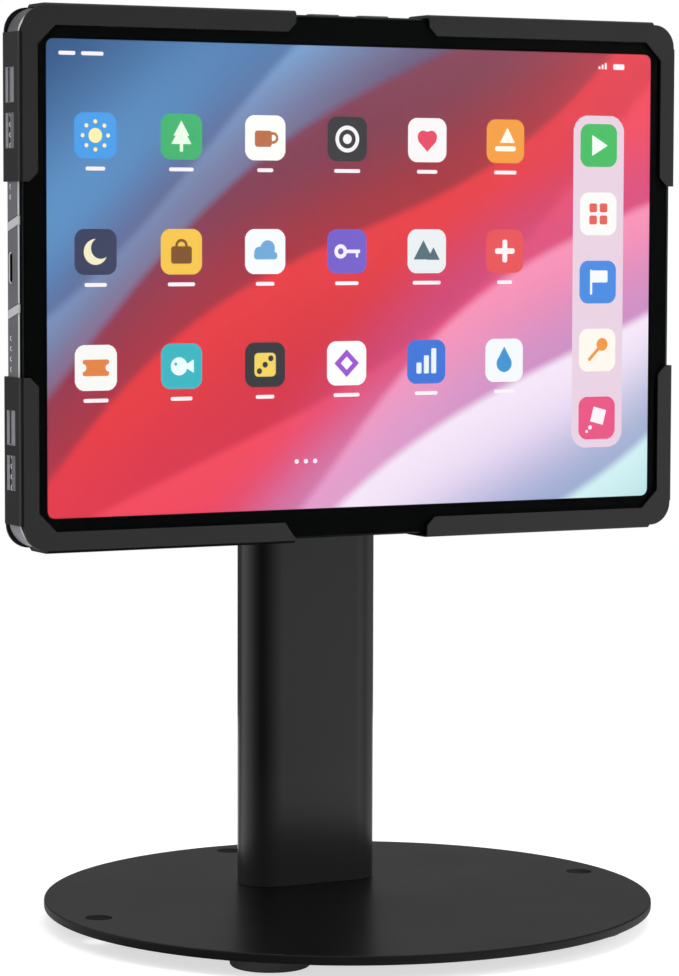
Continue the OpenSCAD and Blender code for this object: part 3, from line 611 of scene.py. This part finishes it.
# Display: a lit panel behind the glass that shows a plain start screen.
# The backdrop is soft overlapping ribbons of colour, with small tiles, a side bar and a status line on it.
PANEL_GAP = 0.15 * MM
PANEL_EDGE = 0.2 * MM
SKY_LOW = "5c97cf"
SKY_HIGH = "174a80"
SKY_SPAN = (0.6, 1.2)
RIBBON_LEAN = (0.83, 0.60)
SHADE_SPAN = (-0.28, 0.0)
SHADE_SHARE = 0.45
BODY_SPAN = (0.0, 0.5)
EDGE_SPAN = (-0.01, 0.03)
panel_low, panel_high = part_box("tablet_panel")


def hexed(code):
    """A colour written as six hex digits, as a picture shows it, turned into linear light."""
    parts = [int(code[i:i + 2], 16) / 255 for i in (0, 2, 4)]
    return tuple(p / 12.92 if p <= 0.04045 else ((p + 0.055) / 1.055) ** 2.4 for p in parts) + (1.0,)


ribbon_group, ribbon_in, ribbon_out = new_group(
    "picture_ribbon",
    [("Under", "Color", None), ("Across", "Float", 0), ("Along", "Float", 0), ("Edge", "Float", 0),
     ("Swing", "Float", 0.1), ("Waves", "Float", 2), ("Phase", "Float", 0), ("Near", "Color", None),
     ("Far", "Color", None)],
    [("Colour", "Color", None)])
ribbon_wave = compute(ribbon_group, "SINE", compute(ribbon_group, "MULTIPLY_ADD", ribbon_in["Along"],
                                                    ribbon_in["Waves"], ribbon_in["Phase"]))
ribbon_edge = compute(ribbon_group, "MULTIPLY_ADD", ribbon_wave, ribbon_in["Swing"], ribbon_in["Edge"])
ribbon_depth = compute(ribbon_group, "SUBTRACT", ribbon_edge, ribbon_in["Across"])
ribbon_shade = mix_colour(ribbon_group, ramp_value(ribbon_group, ribbon_depth, *SHADE_SPAN, 0.0, SHADE_SHARE),
                          ribbon_in["Under"], ribbon_in["Far"])
ribbon_body = mix_colour(ribbon_group, ramp_value(ribbon_group, ribbon_depth, *BODY_SPAN, 0.0, 1.0),
                         ribbon_in["Near"], ribbon_in["Far"])
ribbon_cover = ramp_value(ribbon_group, ribbon_depth, *EDGE_SPAN, 0.0, 1.0)
feed(ribbon_group, ribbon_out["Colour"], mix_colour(ribbon_group, ribbon_cover, ribbon_shade, ribbon_body))

RIBBONS = [
    # edge, swing, waves, phase, near colour, far colour
    (0.62, 0.10, 2.2, 0.4, "6f9fd0", "2a3c74"),
    (0.36, 0.13, 1.9, 1.7, "7d2a4a", "7a0e22"),
    (0.12, 0.11, 2.4, 2.9, "e62a36", "c8142c"),
    (-0.12, 0.14, 1.7, 4.4, "f03c55", "dc2450"),
    (-0.38, 0.10, 2.6, 0.9, "f58db4", "c04a96"),
    (-0.62, 0.12, 2.0, 2.2, "f3e4f6", "bfa8e0"),
    (-0.90, 0.10, 2.3, 3.6, "cdeef0", "37a0b2"),
]


def lit_finish(name):
    """A black material, with its node tree and the socket of the light that it gives off."""
    material, tree, shader = new_finish(name)
    shader.inputs["Base Color"].default_value = (0, 0, 0, 1)
    shader.inputs["Roughness"].default_value = 0.4
    shader.inputs["Emission Strength"].default_value = 1.0
    return material, tree, shader.inputs["Emission Color"]


def lit_picture():
    """Ribbons that cross the picture from its top left to its bottom right."""
    material, tree, light = lit_finish("lit_picture")
    part_x, _, part_z = coordinates(tree)
    x = compute(tree, "MULTIPLY", part_x, 2 / PICTURE_WIDTH)
    z = compute(tree, "MULTIPLY", compute(tree, "SUBTRACT", part_z, screen_z), 2 / PICTURE_WIDTH)
    main, lesser = RIBBON_LEAN
    across = compute(tree, "SUBTRACT", compute(tree, "MULTIPLY", z, main),
                     compute(tree, "MULTIPLY", x, lesser))
    along = compute(tree, "ADD", compute(tree, "MULTIPLY", x, main), compute(tree, "MULTIPLY", z, lesser))
    sky = mix_colour(tree, ramp_value(tree, across, *SKY_SPAN, 0.0, 1.0), hexed(SKY_LOW), hexed(SKY_HIGH))
    for edge, swing, waves, phase, near, far in RIBBONS:
        ribbon = add_node(tree, "ShaderNodeGroup", node_tree=ribbon_group)
        for label, value in (("Under", sky), ("Across", across), ("Along", along), ("Edge", edge),
                             ("Swing", swing), ("Waves", waves), ("Phase", phase), ("Near", hexed(near)),
                             ("Far", hexed(far))):
            feed(tree, ribbon.inputs[label], value)
        sky = ribbon.outputs["Colour"]
    feed(tree, light, sky)
    return material


panel = bmesh.new()
bmesh.ops.create_cube(panel, size=1.0)
panel_front = glass_back + PANEL_GAP
bmesh.ops.scale(panel, verts=panel.verts, vec=(panel_high[0] - panel_low[0], panel_high[1] - panel_front,
                                               panel_high[2] - panel_low[2]))
bmesh.ops.translate(panel, verts=panel.verts, vec=(0, (panel_high[1] + panel_front) / 2, screen_z))
bmesh.ops.bevel(panel, geom=panel.edges[:], offset=PANEL_EDGE, affect="EDGES", segments=2, profile=0.5,
                material=-1)
display = finished("display_panel", panel, "holder", lit_picture())
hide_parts("tablet_panel")


# Start screen: tiles with simple pictograms, plain bars in place of captions, a bar of favourites and a
# status line. They are flat printed shapes in thin layers on the panel, each lit in its own colour.
TILE = 15.2 * MM
TILE_RADIUS = 3.6 * MM
LAYER = 0.012 * MM
BACK_LAYER = 1
TILE_LAYER = 2
FIGURE_LAYER = 4
TILE_COLUMNS = (-98 * MM, -67 * MM, -36 * MM, -5 * MM, 26 * MM, 57 * MM)
TILE_ROWS = (47 * MM, 9 * MM, -29 * MM)
CAPTION_COLOUR = "f7f1f6"
CAPTION_DROP = 3.2 * MM
CAPTION_HEIGHT = 1.3 * MM
CAPTION_CORNER = 0.6 * MM
FAVOURITES_X = 95 * MM
FAVOURITES_Z = (46 * MM, 22 * MM, -2 * MM, -26 * MM, -50 * MM)
FAVOURITES_BAR = (21 * MM, 117 * MM, 6 * MM)
FAVOURITES_COLOUR = "e7cfe0"
PAGE_DOTS_X = (-24 * MM, -20.5 * MM, -17 * MM)
PAGE_DOTS_Z = -62 * MM
PAGE_DOT = 0.8 * MM
STATUS_Z = 73.6 * MM
STATUS_BARS = ((-108 * MM, 6 * MM), (-99 * MM, 8 * MM))
SIGNAL_STEPS = ((95.0, 73.2, 1.0), (96.3, 73.5, 1.6), (97.6, 73.8, 2.2))
SIGNAL_WIDTH = 0.8 * MM
SIGNAL_CORNER = 0.1 * MM
CHARGE_X = 103 * MM
CHARGE_BAR = (4.6 * MM, 2.0 * MM, 0.6 * MM)
art = bmesh.new()
paint = art.loops.layers.float_color.new("paint")


def coloured(points, code):
    for face in points[0].link_faces:
        for loop in face.loops:
            loop[paint] = hexed(code)


def bar(x, z, width, height, radius, code, layer, turn=0.0):
    """A bar with rounded corners, turned about its middle."""
    depth = panel_front - layer * LAYER
    coloured(flat_rectangle(art, x, depth, screen_z + z, width, height, radius, turn, segments=4), code)


def disc(x, z, radius, code, layer, sides=28, turn=0.0):
    """A disc, or with few sides a regular figure with its first point up."""
    place = facing(x, panel_front - layer * LAYER, screen_z + z, turn)
    points = bmesh.ops.create_circle(art, cap_ends=True, segments=sides, radius=radius, matrix=place)["verts"]
    coloured(points, code)


def round_about(count, reach, radius):
    """Discs for a pictogram, set evenly in a circle."""
    return [("disc", reach * math.sin(i * math.tau / count), reach * math.cos(i * math.tau / count), radius)
            for i in range(count)]


# Each pictogram is a list of discs (x, z, radius), bars (x, z, width, height, corner and, where they slant,
# turn) and figures with few sides (x, z, radius, sides, turn), in shares of half a tile and in degrees.
# A disc or figure with an added 1 takes the tile's colour.
PICTOGRAMS = {
    "sun": [("disc", 0, 0, 0.32)] + round_about(8, 0.60, 0.09),
    "moon": [("disc", 0, 0, 0.56), ("disc", 0.24, 0.16, 0.46, 1)],
    "cloud": [("disc", -0.28, -0.04, 0.26), ("disc", 0.12, 0.14, 0.36),
              ("bar", 0.02, -0.18, 1.16, 0.34, 0.16)],
    "tree": [("figure", 0, 0.26, 0.44, 3, 0), ("figure", 0, -0.04, 0.56, 3, 0),
             ("bar", 0, -0.48, 0.16, 0.34, 0.02)],
    "peak": [("figure", -0.18, -0.08, 0.58, 3, 0), ("figure", 0.34, -0.20, 0.38, 3, 0)],
    "fish": [("disc", -0.12, 0, 0.40), ("figure", 0.42, 0, 0.34, 3, 90), ("disc", -0.28, 0.10, 0.07, 1)],
    "boat": [("bar", 0, -0.34, 1.1, 0.24, 0.11), ("figure", 0.10, 0.16, 0.46, 3, 0)],
    "heart": [("disc", -0.21, 0.14, 0.29), ("disc", 0.21, 0.14, 0.29), ("figure", 0, -0.06, 0.46, 4, 0)],
    "gem": [("figure", 0, 0, 0.62, 4, 0), ("figure", 0, 0, 0.30, 4, 0, 1)],
    "cup": [("disc", 0.38, 0.0, 0.26), ("disc", 0.38, 0.0, 0.14, 1), ("bar", -0.10, -0.04, 0.84, 0.72, 0.14)],
    "bag": [("disc", 0, 0.26, 0.30), ("disc", 0, 0.26, 0.18, 1), ("bar", 0, -0.14, 1.0, 0.76, 0.12)],
    "key": [("disc", -0.32, 0, 0.32), ("disc", -0.32, 0, 0.14, 1), ("bar", 0.28, 0, 0.76, 0.16, 0.04),
            ("bar", 0.50, -0.14, 0.12, 0.26, 0.03)],
    "ticket": [("bar", 0, 0, 1.24, 0.72, 0.1), ("disc", -0.62, 0, 0.17, 1), ("disc", 0.62, 0, 0.17, 1)],
    "rings": [("disc", 0, 0, 0.60), ("disc", 0, 0, 0.42, 1), ("disc", 0, 0, 0.22)],
    "plus": [("bar", 0, 0, 1.04, 0.26, 0.1), ("bar", 0, 0, 0.26, 1.04, 0.1)],
    "flag": [("bar", -0.36, 0, 0.12, 1.16, 0.05), ("bar", 0.10, 0.26, 0.86, 0.56, 0.06)],
    "steps": [("bar", -0.38, -0.28, 0.26, 0.5, 0.05), ("bar", 0, -0.12, 0.26, 0.82, 0.05),
              ("bar", 0.38, 0.04, 0.26, 1.14, 0.05)],
    "drop": [("disc", 0, -0.14, 0.40), ("figure", 0, 0.22, 0.42, 3, 0)],
    "blocks": [("bar", x, z, 0.42, 0.42, 0.1) for x in (-0.28, 0.28) for z in (-0.28, 0.28)],
    "arrow": [("figure", -0.08, 0, 0.56, 3, -90)],
    "comet": [("disc", 0.26, 0.26, 0.30), ("bar", -0.16, -0.16, 0.9, 0.16, 0.07, 45)],
    "dice": [("bar", 0, 0, 1.06, 1.06, 0.2)] + [("disc", d, d, 0.13, 1) for d in (-0.28, 0, 0.28)],
    "kite": [("figure", 0.08, 0.10, 0.50, 4, 30), ("disc", -0.36, -0.44, 0.10), ("disc", -0.54, -0.62, 0.07)],
}
TILES = [
    # pictogram, tile colour, figure colour, length of its caption bar in mm
    ("sun", "3f9be8", "fff0a8", 7), ("tree", "34b26a", "eafbe8", 9), ("cup", "fbfbf7", "b86a3c", 6),
    ("rings", "23242a", "f2f2f4", 10), ("heart", "f7f4f5", "e6395c", 8), ("boat", "f29a2e", "fff7e8", 9),
    ("moon", "2a3356", "f4ecc8", 8), ("bag", "f5c443", "7a4a10", 10), ("cloud", "f6fafd", "6aa7d8", 7),
    ("key", "6f58c9", "f3effd", 9), ("peak", "e9eef0", "4c6a76", 11), ("plus", "e5484d", "fff3f1", 6),
    ("ticket", "f7f7f4", "e2803a", 9), ("fish", "2bb3c0", "e9fbfb", 8), ("dice", "20242c", "f3d25a", 7),
    ("gem", "fafafa", "9a4bd0", 10), ("steps", "2f6fd6", "eaf2ff", 9), ("drop", "f3f7fa", "2f8fd0", 8),
]
FAVOURITE_TILES = [
    ("arrow", "36b95a", "f4fff6"), ("blocks", "f8f8f6", "e8574a"), ("flag", "3a86e0", "f4f8ff"),
    ("comet", "fbf6ec", "f0932b"), ("kite", "e84a7f", "fff2f6"),
]


def pictogram(name, x, z, tile_colour, colour):
    """A tile with its pictogram, each shape of it one layer in front of the last."""
    half = TILE / 2
    bar(x, z, TILE, TILE, TILE_RADIUS, tile_colour, TILE_LAYER)
    for layer, (kind, dx, dz, *sizes) in enumerate(PICTOGRAMS[name], FIGURE_LAYER):
        place = (x + dx * half, z + dz * half)
        if kind == "disc":
            disc(*place, sizes[0] * half, tile_colour if len(sizes) > 1 else colour, layer)
        elif kind == "bar":
            turn = math.radians(sizes[3]) if len(sizes) > 3 else 0.0
            bar(*place, sizes[0] * half, sizes[1] * half, sizes[2] * half, colour, layer, turn)
        else:
            own = tile_colour if len(sizes) > 3 else colour
            disc(*place, sizes[0] * half, own, layer, sides=sizes[1], turn=math.radians(sizes[2]))


def pale_bar(x, z, width, height=CAPTION_HEIGHT, corner=CAPTION_CORNER):
    bar(x, z, width, height, corner, CAPTION_COLOUR, TILE_LAYER)


for number, (name, tile_colour, colour, caption) in enumerate(TILES):
    tile_x = TILE_COLUMNS[number % len(TILE_COLUMNS)]
    tile_z = TILE_ROWS[number // len(TILE_COLUMNS)]
    pictogram(name, tile_x, tile_z, tile_colour, colour)
    pale_bar(tile_x, tile_z - TILE / 2 - CAPTION_DROP, caption * MM)
bar(FAVOURITES_X, FAVOURITES_Z[len(FAVOURITES_Z) // 2], *FAVOURITES_BAR, FAVOURITES_COLOUR, BACK_LAYER)
for favourite_z, (name, tile_colour, colour) in zip(FAVOURITES_Z, FAVOURITE_TILES):
    pictogram(name, FAVOURITES_X, favourite_z, tile_colour, colour)
for dot_x in PAGE_DOTS_X:
    disc(dot_x, PAGE_DOTS_Z, PAGE_DOT, CAPTION_COLOUR, TILE_LAYER)
for status_x, status_width in STATUS_BARS:
    pale_bar(status_x, STATUS_Z, status_width)
for step_x, step_z, step_height in SIGNAL_STEPS:
    pale_bar(step_x * MM, step_z * MM, SIGNAL_WIDTH, step_height * MM, SIGNAL_CORNER)
pale_bar(CHARGE_X, STATUS_Z, *CHARGE_BAR)
bmesh.ops.solidify(art, geom=art.faces[:], thickness=LAYER / 3)

screen_print, print_tree, print_light = lit_finish("screen_print")
print_paint = add_node(print_tree, "ShaderNodeVertexColor", layer_name="paint")
feed(print_tree, print_light, print_paint.outputs["Color"])
finished("start_screen", art, "holder", screen_print)


# Inside the tablet: two battery cells in black film and a green circuit board against the back wall.
# They stay hidden as long as the glass is on.
FILM_BLACK = (0.03, 0.03, 0.033)
BOARD_GREEN = (0.02, 0.12, 0.07)
battery_film = grained("battery_film", FILM_BLACK, roughness=0.5, grain=0.5 * MM, depth=0.01 * MM,
                       mottle=15 * MM)
board_mask = grained("board_mask", BOARD_GREEN, roughness=0.4, grain=0.8 * MM, depth=0.02 * MM, mottle=4 * MM,
                     tone=0.4)
dress("tablet_battery", battery_film, edge=0.4 * MM)
dress("tablet_board", board_mask, edge=0.1 * MM)


# Studio: a white floor that keeps a soft shadow, an even pale room and two soft lamps. What surfaces mirror
# changes round the room: low down it is bright at the front right and at the back left, and dark near the
# camera; higher up it is dark in front and dim behind; overhead and far below it is grey.
FLOOR_RADIUS = 0.5
FLOOR_SEEN = 0.6
FLOOR_GLOW = 0.66
AMBIENT = 0.62
OVERHEAD = 0.6
BELOW = 0.6
LOW_GAIN = 1.24
RAISED_GAIN = 1.55
COLUMN_BACK = 32.2 * MM
LOW_ROOM = [
    # share of the full circle from -X through -Y, brightness there
    (0.00, 0.50), (0.02, 0.34), (0.045, 0.23), (0.065, 0.16), (0.087, 0.09), (0.107, 0.07), (0.13, 0.08),
    (0.15, 0.11), (0.19, 0.22), (0.23, 0.36), (0.27, 0.50), (0.30, 0.59), (0.313, 0.63), (0.327, 0.69),
    (0.343, 0.91), (0.37, 0.85), (0.39, 0.70), (0.445, 0.42), (0.48, 0.55), (0.515, 0.42), (0.56, 0.25),
    (0.61, 0.13), (0.70, 0.13), (0.76, 0.11), (0.827, 0.18), (0.85, 0.50), (0.875, 0.90), (0.905, 0.97),
    (0.947, 0.82), (0.975, 0.62),
]
HIGH_ROOM = [(0.0, 0.3), (0.15, 0.0), (0.52, 0.0), (0.60, 0.174), (0.75, 0.174), (0.85, 0.3)]
FLOOR_BACK = 0.70
FLOOR_BACK_SPAN = (0.60, 0.79)
FLOOR_BACK_EASE = 0.02
# The upward part of a direction, from where to where the mirrored room changes.
BELOW_SPAN = (-0.32, -0.24)
LOW_SPAN = (-0.13, -0.08)
RAISED_SPAN = (-0.01, 0.09)
HIGH_SPAN = (0.10, 0.13)
OVERHEAD_SPAN = (0.35, 0.85)

floor_bm = bmesh.new()
bmesh.ops.create_circle(floor_bm, cap_ends=True, segments=96, radius=FLOOR_RADIUS)
floor_mesh = bpy.data.meshes.new("studio_floor")
floor_bm.to_mesh(floor_mesh)
floor_bm.free()
floor = bpy.data.objects.new("studio_floor", floor_mesh)
bpy.context.scene.collection.objects.link(floor)
floor_paint, floor_tree, floor_shader = new_finish("floor_paint")
floor_shader.inputs["Roughness"].default_value = 1.0
floor_shader.inputs["Specular IOR Level"].default_value = 0.0
floor_shader.inputs["Emission Color"].default_value = (1, 1, 1, 1)
floor_path = add_node(floor_tree, "ShaderNodeLightPath")
floor_place = add_node(floor_tree, "ShaderNodeVectorMath", operation="SUBTRACT")
feed(floor_tree, floor_place.inputs[0], add_node(floor_tree, "ShaderNodeTexCoord").outputs["Object"])
feed(floor_tree, floor_place.inputs[1], (0, COLUMN_BACK, 0))


def room_ring(tree, place, stops):
    """Brightness round the room, as a ring round the given place."""
    circle = add_node(tree, "ShaderNodeTexGradient", gradient_type="RADIAL")
    feed(tree, circle.inputs["Vector"], place)
    ring = add_node(tree, "ShaderNodeValToRGB")
    marks = ring.color_ramp.elements
    while len(marks) < len(stops):
        marks.new(0.5)
    for mark, (turn, brightness) in zip(marks, stops):
        mark.position = turn
        mark.color = (brightness, brightness, brightness, 1)
    feed(tree, ring.inputs["Fac"], circle.outputs["Fac"])
    return ring.outputs["Color"]


floor_room = [stop for stop in LOW_ROOM if not FLOOR_BACK_SPAN[0] < stop[0] < FLOOR_BACK_SPAN[1]]
floor_room += [(FLOOR_BACK_SPAN[0] + FLOOR_BACK_EASE, FLOOR_BACK),
               (FLOOR_BACK_SPAN[1] - FLOOR_BACK_EASE, FLOOR_BACK)]
floor_ring = room_ring(floor_tree, floor_place.outputs[0], sorted(floor_room))
floor_mirrored = compute(floor_tree, "MULTIPLY", floor_ring, LOW_GAIN)
feed(floor_tree, floor_shader.inputs["Emission Strength"], compute(
    floor_tree, "ADD", compute(floor_tree, "MULTIPLY", floor_path.outputs["Is Camera Ray"], FLOOR_GLOW),
    compute(floor_tree, "MULTIPLY", floor_path.outputs["Is Glossy Ray"], floor_mirrored)))
feed(floor_tree, floor_shader.inputs["Base Color"],
     mix_colour(floor_tree, floor_path.outputs["Is Glossy Ray"], rgba((FLOOR_SEEN,) * 3), (0, 0, 0, 1)))
floor_mesh.materials.append(floor_paint)

world = bpy.data.worlds.new("studio_room")
world.use_nodes = True
bpy.context.scene.world = world
room = world.node_tree
room_light = room.nodes["Background"]
room_light.inputs["Color"].default_value = (1, 1, 1, 1)
room_place = add_node(room, "ShaderNodeTexCoord").outputs["Generated"]
room_axes = add_node(room, "ShaderNodeSeparateXYZ")
feed(room, room_axes.inputs[0], room_place)
room_up = room_axes.outputs["Z"]


def either(share, first, second):
    """The first brightness of the room where share is zero, and the second where it is one."""
    node = add_node(room, "ShaderNodeMix", data_type="FLOAT")
    for socket, value in zip((node.inputs[0], node.inputs[2], node.inputs[3]), (share, first, second)):
        feed(room, socket, value)
    return node.outputs[0]


room_path = add_node(room, "ShaderNodeLightPath")
room_mirrored = compute(room, "MAXIMUM", room_path.outputs["Is Glossy Ray"],
                        room_path.outputs["Is Transmission Ray"])
room_gain = compute(room, "MULTIPLY", ramp_value(room, room_up, *LOW_SPAN, LOW_GAIN, 1.0),
                    ramp_value(room, room_up, *RAISED_SPAN, 1.0, RAISED_GAIN))
room_low = compute(room, "MULTIPLY", room_gain, room_ring(room, room_place, LOW_ROOM))
room_high = room_ring(room, room_place, HIGH_ROOM)
room_seen = either(ramp_value(room, room_up, *HIGH_SPAN, 0.0, 1.0), room_low, room_high)
room_seen = either(ramp_value(room, room_up, *OVERHEAD_SPAN, 0.0, 1.0), room_seen, OVERHEAD)
room_seen = either(ramp_value(room, room_up, *BELOW_SPAN, 0.0, 1.0), BELOW, room_seen)
room_seen = either(room_mirrored, AMBIENT, room_seen)
feed(room, room_light.inputs["Strength"], either(room_path.outputs["Is Camera Ray"], room_seen, 1.0))


def soft_lamp(name, size, power, place, target):
    """A round lamp that lights the object but isn't seen in reflections."""
    data = bpy.data.lights.new(name, "AREA")
    data.shape = "DISK"
    data.size = size
    data.energy = power
    lamp = bpy.data.objects.new(name, data)
    lamp.visible_glossy = False
    lamp.location = place
    lamp.rotation_euler = (Vector(target) - Vector(place)).to_track_quat("-Z", "Y").to_euler()
    bpy.context.scene.collection.objects.link(lamp)


soft_lamp("top_softbox", size=1.2, power=9.0, place=(0.1, -0.1, 1.6), target=(0, 0, 0.1))
soft_lamp("front_softbox", size=0.9, power=7.0, place=(0.9, -1.3, 0.9), target=(0, 0, 0.2))


# Camera: a long lens a little above the middle of the screen, turned to the left of the stand.
# It looks down by a few degrees, so the base shows as a flat ellipse.
IMAGE_HEIGHT = 976
FOCAL_PIXELS = 3541.07
SENSOR = 36.0
NEAREST = 0.05
AZIMUTH = math.radians(-27.58)
PITCH = math.radians(4.34)
ROLL = math.radians(0.15)
AIM = Vector((0, 0, 158.2 * MM))
DISTANCE = 1217.909 * MM
SIDEWAYS = -3.11 * MM
UPWARDS = -8.812 * MM
back = Vector((math.sin(AZIMUTH) * math.cos(PITCH), -math.cos(AZIMUTH) * math.cos(PITCH), math.sin(PITCH)))
level = Vector((math.cos(AZIMUTH), math.sin(AZIMUTH), 0))
upright = back.cross(level)
eye = AIM + back * DISTANCE + level * SIDEWAYS + upright * UPWARDS
right = level * math.cos(ROLL) + upright * math.sin(ROLL)
up = upright * math.cos(ROLL) - level * math.sin(ROLL)
camera_data = bpy.data.cameras.new("photo_camera")
camera_data.sensor_fit = "VERTICAL"
camera_data.sensor_height = SENSOR
camera_data.lens = FOCAL_PIXELS * SENSOR / IMAGE_HEIGHT
camera_data.clip_start = NEAREST
camera = bpy.data.objects.new("photo_camera", camera_data)
camera.matrix_world = Matrix.Translation(eye) @ Matrix((right, up, back)).transposed().to_4x4()
bpy.context.scene.collection.objects.link(camera)
bpy.context.scene.camera = camera
bpy.context.scene.view_settings.view_transform = "Standard"
